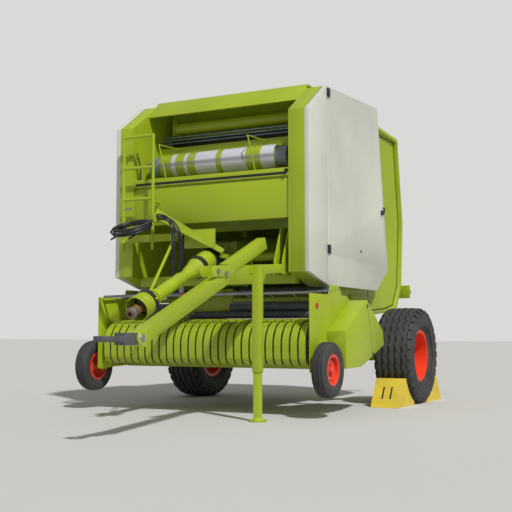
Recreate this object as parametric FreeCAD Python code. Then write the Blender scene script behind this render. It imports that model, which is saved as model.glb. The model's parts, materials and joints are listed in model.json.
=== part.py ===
"""Fixed-chamber round baler, parked on its jack with the pick-up raised.

Millimetres. +Z is up, the hitch is towards -Y and the rear towards +Y. Sizes are
written from the ground below the middle of the main axle; save() then moves every
piece so that the origin is on the ground at the middle of the machine's length.
"""
import FreeCAD, Part
import math
import os

V = FreeCAD.Vector

# ---- running gear -------------------------------------------------------------
TYRE_OD = 850.0
TYRE_WIDTH = 350.0
TYRE_BEAD_R = 206.0
TYRE_FLATS = 28               # flat steps round a main tyre, with a shoulder lug on each
LUG_HEIGHT = 15.0
LUG_LENGTH = 44.0
SHOULDER_DROP = 20.0          # from the tread down to the shoulder between the lugs
WHEEL_X = 1072.0              # middle of a main tyre
RIM_FLANGE_R = 235.0
RIM_HALF_WIDTH = 120.0
RIM_SHEET = 8.0
RIM_DISC_X = 10.0             # the disc stands this far inside the wheel's middle
HUB_R = 75.0
HUB_LENGTH = 90.0
SPINDLE_R = 32.0
RUNNING_GAP = 0.05            # radial play of a pin or spindle
AXLE_BEAM = 100.0
AXLE_BEAM_HALF = 860.0

GAUGE_OD = 408.0
GAUGE_WIDTH = 116.0
GAUGE_BEAD_R = 101.0
GAUGE_FLATS = 18
GAUGE_GROOVE = 8.0
GAUGE_X = 1062.0
GAUGE_Y = -1772.0
GAUGE_Z = 354.0
GAUGE_SPINDLE_R = 12.5
CLEAR = 6.0                   # between pieces that move past each other

# ---- chamber housing ----------------------------------------------------------
WALL_X = 720.0                # inner face of the side walls
WALL = 12.0
FRONT_Y = -1720.0             # front face of the side boxes
SHOULDER_Z = 2350.0           # where the front face turns into the chamfer
PEAK_Y = -1370.0              # top of the chamfer, and the seam ahead of the doors
PEAK_Z = 2600.0
FRONT_LOW_Z = 1090.0
SEAM_LOW_Z = 1000.0
SPLIT_TOP_Y = -232.0          # the tailgate parts from the housing along this line
SPLIT_LOW_Y = -60.0
ROOF_Z = 2604.0
WALL_LOW_Z = 790.0
SPLIT_GAP = 12.0

BOX_SHEET = 4.0
BOX_X = 856.0                 # outer face of the green side box, behind the white panels
PANEL_DEPTH = 40.0            # depth of a white panel's folded edge
PANEL_SHEET = 6.0
PANEL_X = BOX_X + PANEL_DEPTH
DOOR_TOP_REAR_Y = -216.0
DOOR_TOP_REAR_Z = 2655.0
DOOR_REAR_Y = 30.0
DOOR_REAR_Z = 1200.0
DOOR_LOW_REAR_Y = -262.0
SEAM_GAP = 6.0
DOOR_HINGE_R = 8.0
DOOR_HINGE_LENGTH = 70.0

HOOD_LOW_Y = -1500.0
HOOD_LOW_Z = 2480.0
HOOD_TOP_Y = -1350.0
HOOD_RISE = 37.0              # top of the hood above the peak
HOOD_TOP_Z = PEAK_Z + HOOD_RISE
HOOD_SHEET = 14.0
HOOD_REAR_Y = -262.0

# ---- front of the machine -----------------------------------------------------
PANEL_FRONT_Y = -1706.0
PANEL_LOW_Z = 1512.0
PANEL_TOP_Z = 1818.0
FRONT_SHEET = 10.0
RAIL_LOW_Z = 1836.0
RAIL_TOP_Z = 1900.0
RAIL_DEPTH = 60.0
UPPER_RAIL_Y = -1353.0
UPPER_RAIL_Z = 2205.0
UPPER_RAIL = 40.0
BACK_WALL_Y = -1120.0
BACK_WALL_LOW_Z = 1500.0
NET_STRUTS = ((-423.0, -494.0), (410.0, 343.0))   # foot and knee of each strut ahead of the net roll
STRUT_Y = -1680.0
STRUT_FALL = 14.0
STRUT_R = 5.0
NET_ROLL_R = 100.0
NET_ROLL_HALF = 545.0
NET_CORE_R = 38.0
NET_CORE_HALF = 640.0
NET_ROLL_Y = -1520.0
NET_ROLL_Z = 2030.0
TOP_ROLLER_R = 52.0
TOP_ROLLER_Y = -1215.0
TOP_ROLLER_Z = 2420.0
TOP_ROLLER_END_X = -600.0
NET_ROD_R = 6.0
NET_ROD_Y = -1275.0
NET_ROD_TOP_Z = 2335.0
NET_ROD_PITCH = 27.0

# ---- bale chamber rollers -----------------------------------------------------
CHAMBER_Y = -150.0
CHAMBER_Z = 1700.0
CHAMBER_R = 770.0             # circle of the rollers' axes
ROLLER_R = 90.0
ROLLER_HALF = 712.0
FRONT_ROLLER_ANGLES = (105, 125, 145, 165, 185, 205, 252)
TAILGATE_ROLLER_ANGLES = (-70, -47, -24, -1, 22, 45, 68)

# ---- tailgate -----------------------------------------------------------------
HINGE_Y = -205.0
HINGE_Z = 2628.0
HINGE_PIN_R = 12.0
HINGE_TUBE_R = 22.0
GATE_REAR_TOP_Y = 723.0
GATE_REAR_TOP_Z = 2552.0
GATE_REAR_Y = 852.0
GATE_REAR_Z = 1720.0
GATE_LOW_REAR_Y = 786.0
GATE_LOW_REAR_Z = 1085.0
GATE_HEEL_Y = 643.0
GATE_HEEL_Z = 865.0
GATE_LOW_Y = 423.0
GATE_LOW_Z = 822.0
GATE_SKIN = 8.0
RIM_OUT = 34.0                # how far the rim flange stands out of the tailgate's side
RIM_BAND = 30.0

LIGHT_BAR_Y = 905.0
LIGHT_BAR_LOW_Z = 972.0
LIGHT_BAR_TOP_Z = 1100.0
LIGHT_BAR_HALF = 815.0
LIGHT_PLATE = 150.0
LIGHT_BAR = 40.0
LAMP_WIDTH = 110.0
LAMP_HEIGHT = 36.0

CYLINDER_X = 800.0
BARREL_R = 30.0
BARREL_BORE_R = 24.0
BARREL_LENGTH = 600.0
ROD_R = 16.0
PISTON_START = 120.0          # inner end of the rod, from the lower pin
PISTON_LENGTH = 30.0
ROD_LUG_DROP = 200.0          # foot of the rod's lug below the roof
ROD_LUG_SHEET = 10.0
CYLINDER_LOW_Y = -800.0
CYLINDER_LOW_Z = 1950.0
CYLINDER_TOP_Y = -100.0
CYLINDER_TOP_Z = 2500.0
EYE_R = 30.0
EYE_PIN_R = 15.0

# ---- drawbar, jack and drive shaft ----------------------------------------------
DRAWBAR_X = 640.0
TONGUE_FRONT_Y = -3611.0
TONGUE_FRONT_Z = 592.0
TONGUE_DROP = 50.0            # the tongue's rear end hangs this far below the beam's middle
JOINT_Y = -2614.0
JOINT_Z = 1046.0
TONGUE_R = 44.0               # half the tongue's depth, and its rounded end
TONGUE_WIDTH = 80.0
BRACE_TOP_Y = -2008.0
BRACE_TOP_Z = 1288.0
BRACE_DEPTH = 86.0
FISHPLATE_FRONT = 170.0       # reach of the side plates ahead of the joint
FISHPLATE_REAR = 120.0
FISHPLATE_HALF = 38.0
FISHPLATE_SHEET = 8.0
BEAM_REAR_Y = -1676.0
BEAM_REAR_Z = 1122.0
BEAM_DEPTH = 70.0
BEAM_WIDTH = 60.0
EYE_TIP_Y = -3990.0
EYE_BORE_R = 25.0
EYE_RING_R = 62.0
EYE_THICK = 34.0
CROSS_MEMBER_Y = -1560.0
CROSS_MEMBER_Z = 1050.0
CROSS_MEMBER = 80.0
LEG_FRONT_Y = -520.0          # the axle's legs
LEG_TOP_Z = 960.0
LEG_KNEE_Z = 640.0
LEG_SHEET = 16.0
HANGER_TOP_Z = 930.0          # the pick-up's hangers
HANGER_SHEET = 20.0

JACK_Y = -2210.0
JACK_SLEEVE = 60.0
JACK_SHEET = 4.0
JACK_LEG = 48.0
JACK_TOP_Z = 1113.0
JACK_SLEEVE_LOW_Z = 347.0
JACK_LEG_TOP_Z = 600.0
JACK_FOOT_R = 66.0
JACK_FOOT_THICK = 12.0

SHAFT_FRONT_Y = -2695.0
SHAFT_FRONT_Z = 790.0
SHAFT_REAR_Y = -1690.0
SHAFT_REAR_Z = 1215.0
YOKE_REACH = 95.0             # the splined hub stands this far out of the front bell
YOKE_HUB_R = 34.0
YOKE_BORE_R = 17.5
JOINT_CROSS = 85.0            # the front joint's cross, behind the mouth of the bell
CROSS_PIN_R = 12.0
EAR_X = 34.0                  # middle of a yoke's ear, from the axis
EAR_WIDTH = 44.0
EAR_SHEET = 10.0
REAR_YOKE_R = 40.0
BELL_R = 90.0
BELL_LENGTH = 130.0
GUARD_TUBE_R = 50.0
GUARD_SHEET = 4.0
SHAFT_BAR_R = 24.0
GEARBOX_HALF = 115.0
GEARBOX_FRONT_Y = -1440.0
GEARBOX_REAR_Y = -1230.0
GEARBOX_LOW_Z = 1117.0
GEARBOX_TOP_Z = 1370.0
INPUT_CONE_R = 74.0
CROSS_TUBE_R = 35.0
CROSS_TUBE_Y = -1335.0
CROSS_TUBE_Z = 1250.0
REST_S = 235.0                # the shaft's rest holds its guard this far behind the bell's mouth
REST_RING = 10.0
REST_ROD_R = 12.0

# ---- ladder, step and hose arm ---------------------------------------------------
LADDER_X = -615.0
LADDER_HALF = 145.0
LADDER_Y = -1800.0
LADDER_TUBE_R = 13.0
LADDER_TOP_Z = 2262.0
LADDER_LOW_Z = 1300.0
TIE_RISE = 260.0
RUNG_PITCH = 262.0
STEP_Z = 1395.0
STEP_THICK = 60.0
STEP_X0 = -800.0
STEP_X1 = -230.0
ARM_SHEET = 8.0
ARM_START = (-400.0, -1905.0, 1545.0)
ARM_END_Y = -1680.0
ARM_END_DROP = 116.0          # end of the arm below the gearbox's top

# ---- pick-up ---------------------------------------------------------------------
PICKUP_PIVOT_Y = -850.0
PICKUP_PIVOT_Z = 700.0
PICKUP_PIN_R = 25.0
END_PLATE_X = 952.0
END_PLATE = 8.0
PLATE_FRONT_Y = -1860.0
PLATE_LOW_Z = 335.0
PLATE_TOP_Z = 920.0
REEL_Y = -1640.0
REEL_Z = 556.0
REEL_TIP_R = 246.0
REEL_BAR_ORBIT = 125.0
REEL_BAR_R = 15.0
REEL_TUBE_R = 40.0
REEL_BARS = 4
TINE_R = 3.0
BAND_FRONT = 200.0            # face of the bands ahead of the reel's axis
BAND_R = 182.0                # their top and bottom above and below it
BAND_CREASE = 70.0            # where the sloping top meets the face, above the axis
BAND_SLOPE_REAR = 60.0        # where the slope starts, ahead of the axis
BAND_SHEET = 5.0
BAND_WIDTH = 52.0
BAND_PITCH = 68.0
BAND_COUNT = 27
BACK_SHEET_Y = -1225.0
TIE_BAR = 30.0                # bar under the bands, behind the reach of the tines
TIE_BAR_Y = -1440.0
GUARD_BAR_Y = -1820.0
GUARD_BAR_Z = 925.0
GUARD_BAR_R = 11.0
GUARD_PIVOT_Y = -1440.0
GUARD_PIVOT_Z = 950.0
FINGER_PITCH = 195.0
FINGER_REACH = 160.0
FINGER_R = 5.0
ROLL_Y = -1360.0
UPPER_ROLL_R = 27.0
UPPER_ROLL_Z = 962.0
LOWER_ROLL_R = 33.0
LOWER_ROLL_Z = 841.0
ROLL_LEFT_X = 20.0            # inner ends of the rolls on either side of the feed plate
ROLL_RIGHT_X = -400.0
FEED_SHEET = 6.0
FEED_ROLL_R = 31.0
FEED_ROLL_Z = 773.0
FEED_ROLL_END_X = -320.0
FEED_LOW_Z = 812.0            # lime plate between the rolls
FEED_TOP_Z = 992.0
CARRIER = 30.0

# ---- loose and carried pieces -------------------------------------------------------
CHOCK_X0 = 965.0
CHOCK_X1 = 1198.0
CHOCK_FRONT_Y = 640.0         # distance of a chock's outer foot from the axle
CHOCK_TOP_OUT_Y = 492.0
CHOCK_HEIGHT = 236.0
CHOCK_TOE_Y = 175.0
CHOCK_GAP = 10.0

COIL_X = -530.0
COIL_Y = -2010.0
COIL_Z = 1462.0
COIL_R = 150.0
COIL_TUBE_R = 32.0
COIL_TILT = 24.0
COIL_HOSE_R = 8.0
HOOK_R = 7.0
HOOK_KNEE_Y = -1859.0
FRONT_HOSE_R = 6.5
REAR_HOSE_R = 8.0
COUPLING_LENGTH = 42.0
CLAMP_X = -330.0              # face of the clamp that the hanging hoses come out of

# ---- worked out ------------------------------------------------------------------------
AXLE_Z = TYRE_OD / 2
ORIGIN_Y = (EYE_TIP_Y + LIGHT_BAR_Y + LIGHT_BAR) / 2
nodes = {}


# ---- helpers -----------------------------------------------------------------------------
def block(x0, x1, y0, y1, z0, z1):
    return Part.makeBox(x1 - x0, y1 - y0, z1 - z0, V(x0, y0, z0))


def prism_x(outline, x0, x1):
    """A side outline of (y, z) points, drawn across from x0 to x1."""
    points = [V(x0, y, z) for y, z in outline]
    return Part.Face(Part.makePolygon(points + [points[0]])).extrude(V(x1 - x0, 0, 0))


def bar_x(radius, x0, x1, y, z):
    return Part.makeCylinder(radius, x1 - x0, V(x0, y, z), V(1, 0, 0))


def pipe_x(radius, bore, x0, x1, y, z):
    return bar_x(radius, x0, x1, y, z).cut(bar_x(bore, x0 - 1, x1 + 1, y, z))


def rod(radius, start, end):
    return Part.makeCylinder(radius, (end - start).Length, start, end - start)


def turn_x(profile, y, z):
    """A closed profile of (x, radius) points turned about the X line through y, z."""
    points = [V(x, y, z + radius) for x, radius in profile]
    face = Part.Face(Part.makePolygon(points + [points[0]]))
    return face.revolve(V(0, y, z), V(1, 0, 0), 360)


def mirrored(shape):
    return shape.mirror(V(0, 0, 0), V(1, 0, 0))


def join(*shapes):
    return shapes[0].multiFuse(list(shapes[1:])).removeSplitter()


def pair(shape):
    """The piece and its mirror image, as one node."""
    return Part.makeCompound([shape, mirrored(shape)])


def slanted_bar(depth, width, start, end, x):
    """A square-cut box of the given depth between two (y, z) points, centred on x."""
    dy, dz = end[0] - start[0], end[1] - start[1]
    length = math.hypot(dy, dz)
    ny, nz = -dz / length * depth / 2, dy / length * depth / 2
    outline = [(start[0] + ny, start[1] + nz), (end[0] + ny, end[1] + nz),
               (end[0] - ny, end[1] - nz), (start[0] - ny, start[1] - nz)]
    return prism_x(outline, x - width / 2, x + width / 2)


def on_circle(cy, cz, radius, degrees):
    angle = math.radians(degrees)
    return cy + radius * math.cos(angle), cz + radius * math.sin(angle)


# ---- running gear -----------------------------------------------------------------------------
def flat_turned(profile, flats, y, z):
    """A closed profile of (x, radius) points carried round the X line in flat steps, one flat at the bottom."""
    stretch = 1 / math.cos(math.pi / flats)
    rings = []
    for i in range(flats):
        angle = 2 * math.pi * (i + 0.5) / flats
        rings.append([V(x, y + r * stretch * math.cos(angle), z + r * stretch * math.sin(angle)) for x, r in profile])
    faces = []
    for i, ring in enumerate(rings):
        following = rings[(i + 1) % flats]
        for k in range(len(profile)):
            m = (k + 1) % len(profile)
            faces.append(Part.Face(Part.makePolygon([ring[k], ring[m], following[m], following[k], ring[k]])))
    shell = Part.makeShell(faces)
    shell.sewShape()
    solid = Part.makeSolid(shell)
    if solid.Volume < 0:
        solid.reverse()
    return solid


def both_sides(half_profile):
    """A profile from one bead over the crown to the other, from its (x, radius) points on one side."""
    return [(-x, r) for x, r in half_profile] + [(x, r) for x, r in reversed(half_profile)]


def main_tyre():
    """Tyre body with its tread, and a block across each shoulder on every flat."""
    half, tread = TYRE_WIDTH / 2, TYRE_OD / 2
    wall = tread - TYRE_BEAD_R
    body = [(RIM_HALF_WIDTH, TYRE_BEAD_R), (half, TYRE_BEAD_R + 0.42 * wall), (0.96 * half, TYRE_BEAD_R + 0.70 * wall),
            (0.86 * half, tread - SHOULDER_DROP - 8), (0.66 * half, tread - SHOULDER_DROP + 4), (0.62 * half, tread)]
    block_outline = [(0.55 * half, tread - SHOULDER_DROP - 12), (0.55 * half, tread - 1), (0.80 * half, tread - 6),
                     (0.97 * half, tread - SHOULDER_DROP - LUG_HEIGHT), (0.97 * half, TYRE_BEAD_R + 0.68 * wall),
                     (0.80 * half, TYRE_BEAD_R + 0.68 * wall)]
    blocks = []
    for i in range(TYRE_FLATS):
        angle = 2 * math.pi * i / TYRE_FLATS
        out, ahead = V(0, math.cos(angle), math.sin(angle)), V(0, -math.sin(angle), math.cos(angle))
        for side in (-1, 1):
            points = [out * r + V(side * x, 0, 0) - ahead * (LUG_LENGTH / 2) for x, r in block_outline]
            blocks.append(Part.Face(Part.makePolygon(points + [points[0]])).extrude(ahead * LUG_LENGTH))
    whole = flat_turned(both_sides(body), TYRE_FLATS, 0, 0).multiFuse(blocks)
    whole.translate(V(WHEEL_X, 0, AXLE_Z))
    return whole


def gauge_tyre():
    half, tread = GAUGE_WIDTH / 2, GAUGE_OD / 2
    wall = tread - GAUGE_BEAD_R
    body = [(GAUGE_WIDTH * 0.36, GAUGE_BEAD_R), (half, GAUGE_BEAD_R + 0.5 * wall), (0.80 * half, tread - 7),
            (0.52 * half, tread), (0.46 * half, tread - GAUGE_GROOVE), (0.22 * half, tread - GAUGE_GROOVE),
            (0.16 * half, tread)]
    whole = flat_turned(both_sides(body), GAUGE_FLATS, 0, 0)
    whole.translate(V(GAUGE_X, GAUGE_Y, GAUGE_Z))
    return whole


def main_rim(side):
    """Deep-dished wheel: a barrel with two flanges, a disc and a hub bored for the spindle."""
    h, s = RIM_HALF_WIDTH, RIM_SHEET
    barrel = turn_x([(-h - s, RIM_FLANGE_R), (-h, RIM_FLANGE_R), (-h, TYRE_BEAD_R),
                     (h, TYRE_BEAD_R), (h, RIM_FLANGE_R), (h + s, RIM_FLANGE_R),
                     (h + s, TYRE_BEAD_R - s), (-h - s, TYRE_BEAD_R - s)], 0, 0)
    disc = pipe_x(TYRE_BEAD_R - s + 1, HUB_R - 1, -RIM_DISC_X - s, -RIM_DISC_X, 0, 0)
    hub = pipe_x(HUB_R, SPINDLE_R + RUNNING_GAP, -RIM_DISC_X - HUB_LENGTH, -RIM_DISC_X + 20, 0, 0)
    wheel = join(barrel, disc, hub)
    wheel.translate(V(WHEEL_X, 0, AXLE_Z))
    return wheel if side > 0 else mirrored(wheel)


def gauge_rim(side):
    h = GAUGE_WIDTH * 0.36
    barrel = turn_x([(-h - 4, GAUGE_BEAD_R + 12), (-h, GAUGE_BEAD_R + 12), (-h, GAUGE_BEAD_R),
                     (h, GAUGE_BEAD_R), (h, GAUGE_BEAD_R + 12), (h + 4, GAUGE_BEAD_R + 12),
                     (h + 4, GAUGE_BEAD_R - 5), (-h - 4, GAUGE_BEAD_R - 5)], 0, 0)
    disc = pipe_x(GAUGE_BEAD_R - 4, 29, -3, 3, 0, 0)
    hub = pipe_x(30, GAUGE_SPINDLE_R + RUNNING_GAP, -h, h, 0, 0)
    wheel = join(barrel, disc, hub)
    wheel.translate(V(GAUGE_X, GAUGE_Y, GAUGE_Z))
    return wheel if side > 0 else mirrored(wheel)


def axle():
    beam = block(-AXLE_BEAM_HALF, AXLE_BEAM_HALF, -AXLE_BEAM / 2, AXLE_BEAM / 2,
                 AXLE_Z - AXLE_BEAM / 2, AXLE_Z + AXLE_BEAM / 2)
    spindle_end = WHEEL_X - RIM_DISC_X + 10
    spindles = bar_x(SPINDLE_R, -spindle_end, spindle_end, 0, AXLE_Z)
    return join(beam, spindles)


for name, side in (("left", 1), ("right", -1)):
    nodes["main_tyre_" + name] = main_tyre() if side > 0 else mirrored(main_tyre())
    nodes["main_rim_" + name] = main_rim(side)
    nodes["gauge_tyre_" + name] = gauge_tyre() if side > 0 else mirrored(gauge_tyre())
    nodes["gauge_rim_" + name] = gauge_rim(side)
nodes["axle"] = axle()


# ---- chamber housing --------------------------------------------------------------------------------
def housing_outline():
    return [(FRONT_Y, FRONT_LOW_Z), (FRONT_Y, SHOULDER_Z), (PEAK_Y, PEAK_Z), (SPLIT_TOP_Y, ROOF_Z),
            (SPLIT_LOW_Y, WALL_LOW_Z), (-1050, WALL_LOW_Z), (-1200, 950), (PEAK_Y, SEAM_LOW_Z)]


def chamber_walls():
    return pair(prism_x(housing_outline(), WALL_X, WALL_X + WALL))


def side_box():
    """The green box between the chamber wall and the white panels, open at the back."""
    outline = [(FRONT_Y, FRONT_LOW_Z), (FRONT_Y, SHOULDER_Z), (PEAK_Y, PEAK_Z),
               (DOOR_TOP_REAR_Y - 60, ROOF_Z), (-420, SEAM_LOW_Z), (PEAK_Y, SEAM_LOW_Z)]
    x0 = WALL_X + WALL
    shell = prism_x(outline, x0, BOX_X - CLEAR)
    inner = [(FRONT_Y + BOX_SHEET, FRONT_LOW_Z + BOX_SHEET), (FRONT_Y + BOX_SHEET, SHOULDER_Z - 2),
             (PEAK_Y + 2, PEAK_Z - BOX_SHEET), (0, ROOF_Z - BOX_SHEET), (0, SEAM_LOW_Z + BOX_SHEET),
             (PEAK_Y, SEAM_LOW_Z + BOX_SHEET)]
    hollow = prism_x(inner, x0 - 1, BOX_X)
    nose = prism_x([(FRONT_Y, FRONT_LOW_Z), (FRONT_Y, SHOULDER_Z), (FRONT_Y + BOX_SHEET, SHOULDER_Z),
                    (FRONT_Y + BOX_SHEET, FRONT_LOW_Z)], BOX_X - CLEAR, BOX_X)
    return pair(join(shell.cut(hollow), nose))


def pan(outline, inset):
    """A sheet-metal panel with its edges folded inwards."""
    solid = prism_x(outline, BOX_X, PANEL_X)
    return solid.cut(prism_x(inset, BOX_X - 1, PANEL_X - PANEL_SHEET))


def inset_outline(outline, distance):
    """The outline moved inwards by a sheet's thickness, corner by corner."""
    count = len(outline)
    area = sum(outline[i][0] * outline[(i + 1) % count][1] - outline[(i + 1) % count][0] * outline[i][1]
               for i in range(count))
    sign = 1 if area > 0 else -1
    moved = []
    for i in range(count):
        before, here, after = outline[i - 1], outline[i], outline[(i + 1) % count]
        a = math.atan2(here[1] - before[1], here[0] - before[0])
        b = math.atan2(after[1] - here[1], after[0] - here[0])
        na = (-math.sin(a) * sign, math.cos(a) * sign)
        nb = (-math.sin(b) * sign, math.cos(b) * sign)
        scale = distance / (1 + na[0] * nb[0] + na[1] * nb[1])
        moved.append((here[0] + (na[0] + nb[0]) * scale, here[1] + (na[1] + nb[1]) * scale))
    return moved


def side_strip():
    edge = PEAK_Y - SEAM_GAP / 2
    outline = [(FRONT_Y, FRONT_LOW_Z), (FRONT_Y, SHOULDER_Z), (edge, PEAK_Z - 2), (edge, SEAM_LOW_Z + 1)]
    return pair(pan(outline, inset_outline(outline, PANEL_SHEET)))


def door(side):
    edge = PEAK_Y + SEAM_GAP / 2
    outline = [(edge, SEAM_LOW_Z), (edge, PEAK_Z), (DOOR_TOP_REAR_Y, DOOR_TOP_REAR_Z),
               (DOOR_REAR_Y, DOOR_REAR_Z), (DOOR_LOW_REAR_Y, SEAM_LOW_Z)]
    panel = pan(outline, inset_outline(outline, PANEL_SHEET))
    hinge_x = PANEL_X + DOOR_HINGE_R + 1
    pieces = [panel]
    for z in (SEAM_LOW_Z + 250, PEAK_Z - 90):
        pieces.append(Part.makeCylinder(DOOR_HINGE_R, DOOR_HINGE_LENGTH, V(hinge_x, PEAK_Y, z)))
        pieces.append(block(PANEL_X - 2, hinge_x, PEAK_Y + SEAM_GAP, PEAK_Y + 45, z, z + DOOR_HINGE_LENGTH))
        pieces.append(block(hinge_x - 3, hinge_x + 3, PEAK_Y, PEAK_Y + 45, z, z + DOOR_HINGE_LENGTH))
    latch = block(PANEL_X - 2, PANEL_X + 14, -150, -105, 1690, 1730)
    whole = join(*(pieces + [latch]))
    return whole if side > 0 else mirrored(whole)


def roof_hood():
    s = HOOD_SHEET
    outline = [(HOOD_LOW_Y, HOOD_LOW_Z), (HOOD_TOP_Y, HOOD_TOP_Z), (HOOD_REAR_Y, HOOD_TOP_Z),
               (HOOD_REAR_Y, HOOD_TOP_Z - s), (HOOD_TOP_Y + 6, HOOD_TOP_Z - s),
               (HOOD_LOW_Y + s, HOOD_LOW_Z - 4)]
    top = prism_x(outline, -WALL_X, WALL_X)
    lugs = [prism_x([(HOOD_REAR_Y - 60, HOOD_TOP_Z - s), (HINGE_Y, HINGE_Z - HINGE_TUBE_R),
                     (HINGE_Y + 14, HINGE_Z), (HINGE_Y, HINGE_Z + HINGE_TUBE_R), (HOOD_REAR_Y - 60, HOOD_TOP_Z)],
                    x - 8, x + 8) for x in (-640, 0, 640)]
    pin = bar_x(HINGE_PIN_R, -700, 700, HINGE_Y, HINGE_Z)
    return join(top, pin, *lugs)


nodes["chamber_walls"] = chamber_walls()
nodes["side_boxes"] = side_box()
nodes["side_strips"] = side_strip()
nodes["door_left"] = door(1)
nodes["door_right"] = door(-1)
nodes["roof_hood"] = roof_hood()


# ---- front of the machine -------------------------------------------------------------------------------
def front_panel():
    y = PANEL_FRONT_Y
    sheet = block(-WALL_X, WALL_X, y, y + FRONT_SHEET, PANEL_LOW_Z, PANEL_TOP_Z)
    lip_low = block(-WALL_X, WALL_X, y, y + 60, PANEL_LOW_Z, PANEL_LOW_Z + FRONT_SHEET)
    lip_top = block(-WALL_X, WALL_X, y, y + 300, PANEL_TOP_Z - FRONT_SHEET, PANEL_TOP_Z)
    rail = block(-WALL_X, WALL_X, y - 10, y - 10 + RAIL_DEPTH, RAIL_LOW_Z, RAIL_TOP_Z)
    web = block(-WALL_X, WALL_X, y + 20, y + 28, PANEL_TOP_Z - 5, RAIL_LOW_Z + 5)
    return join(sheet, lip_low, lip_top, web, rail)


def net_tray():
    """Upper rail, the sloping sheet behind the net roll and the back wall of the opening."""
    rail = block(-WALL_X, WALL_X, UPPER_RAIL_Y, UPPER_RAIL_Y + UPPER_RAIL,
                 UPPER_RAIL_Z - UPPER_RAIL / 2, UPPER_RAIL_Z + UPPER_RAIL / 2)
    z_low = PANEL_TOP_Z + 2
    slope = prism_x([(UPPER_RAIL_Y + 5, UPPER_RAIL_Z), (UPPER_RAIL_Y + 13, UPPER_RAIL_Z),
                     (PANEL_FRONT_Y + 308, z_low), (PANEL_FRONT_Y + 300, z_low)], -WALL_X, WALL_X)
    back = block(-WALL_X, WALL_X, BACK_WALL_Y, BACK_WALL_Y + FRONT_SHEET, BACK_WALL_LOW_Z, PEAK_Z - 10)
    shelf = block(-WALL_X, WALL_X, UPPER_RAIL_Y + 5, BACK_WALL_Y + 2, UPPER_RAIL_Z - 8, UPPER_RAIL_Z)
    return join(rail, slope, back, shelf, *[net_strut(low, top) for low, top in NET_STRUTS])


def net_strut(low_x, top_x):
    """Bent rod from the upper rail, forward over the net roll and down ahead of it to the slotted rail."""
    foot, knee = V(low_x, STRUT_Y, RAIL_TOP_Z + 2.5), V(top_x, STRUT_Y, UPPER_RAIL_Z - STRUT_FALL)
    head = V(top_x, UPPER_RAIL_Y + 2, UPPER_RAIL_Z)
    return join(rod(STRUT_R, foot, knee), Part.makeSphere(STRUT_R, knee), rod(STRUT_R, knee, head))


def net_roll():
    film = pipe_x(NET_ROLL_R, NET_CORE_R, -NET_ROLL_HALF, NET_ROLL_HALF, NET_ROLL_Y, NET_ROLL_Z)
    core = bar_x(NET_CORE_R, -NET_CORE_HALF, NET_CORE_HALF, NET_ROLL_Y, NET_ROLL_Z)
    ends = [block(x0, x0 + 12, NET_ROLL_Y - 30, NET_ROLL_Y + 30, RAIL_TOP_Z - 82, NET_ROLL_Z)
            for x0 in (-NET_CORE_HALF + 4, NET_CORE_HALF - 16)]
    return join(film, core, *ends)


def net_rollers():
    roller = bar_x(TOP_ROLLER_R, TOP_ROLLER_END_X, WALL_X, TOP_ROLLER_Y, TOP_ROLLER_Z)
    bracket = block(TOP_ROLLER_END_X - 10, TOP_ROLLER_END_X, TOP_ROLLER_Y - 70, BACK_WALL_Y,
                    TOP_ROLLER_Z - 70, TOP_ROLLER_Z + 70)
    rods = [bar_x(NET_ROD_R, -WALL_X, WALL_X, NET_ROD_Y, NET_ROD_TOP_Z - i * NET_ROD_PITCH) for i in range(3)]
    return Part.makeCompound([join(roller, bracket)] + rods)


def rollers(angles):
    return Part.makeCompound([bar_x(ROLLER_R, -ROLLER_HALF, ROLLER_HALF,
                                    *on_circle(CHAMBER_Y, CHAMBER_Z, CHAMBER_R, a)) for a in angles])


nodes["front_panel"] = front_panel()
nodes["net_tray"] = net_tray()
nodes["net_roll"] = net_roll()
nodes["net_rollers"] = net_rollers()
nodes["chamber_rollers"] = rollers(FRONT_ROLLER_ANGLES)


# ---- tailgate --------------------------------------------------------------------------------------------
def gate_outline():
    return [(SPLIT_TOP_Y + SPLIT_GAP, ROOF_Z - 4), (GATE_REAR_TOP_Y, GATE_REAR_TOP_Z),
            (GATE_REAR_Y, GATE_REAR_Z), (GATE_LOW_REAR_Y, GATE_LOW_REAR_Z), (GATE_HEEL_Y, GATE_HEEL_Z),
            (GATE_LOW_Y, GATE_LOW_Z), (SPLIT_LOW_Y + SPLIT_GAP, WALL_LOW_Z)]


def open_inset(distance):
    """The tailgate's outline moved inwards, and run out past its open front."""
    inner = inset_outline(gate_outline(), distance)
    return [(inner[0][0] - 300, inner[0][1])] + inner[:-1] + [inner[-1], (inner[-1][0] - 300, inner[-1][1])]


def cylinder_lug():
    """Plate and boss on the tailgate's side that carry the eye of a cylinder's rod."""
    x0 = WALL_X + WALL - 1
    front, rear = CYLINDER_TOP_Y - EYE_R, CYLINDER_TOP_Y + EYE_R
    base_z = ROOF_Z - ROD_LUG_DROP
    plate = prism_x([(front, base_z), (front, CYLINDER_TOP_Z), (rear, CYLINDER_TOP_Z), (rear, base_z)],
                    x0, x0 + ROD_LUG_SHEET)
    boss = bar_x(EYE_R, x0, CYLINDER_X - 22, CYLINDER_TOP_Y, CYLINDER_TOP_Z)
    bore = bar_x(EYE_PIN_R, x0 + ROD_LUG_SHEET, CYLINDER_X, CYLINDER_TOP_Y, CYLINDER_TOP_Z)
    return join(plate, boss).cut(bore)


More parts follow.
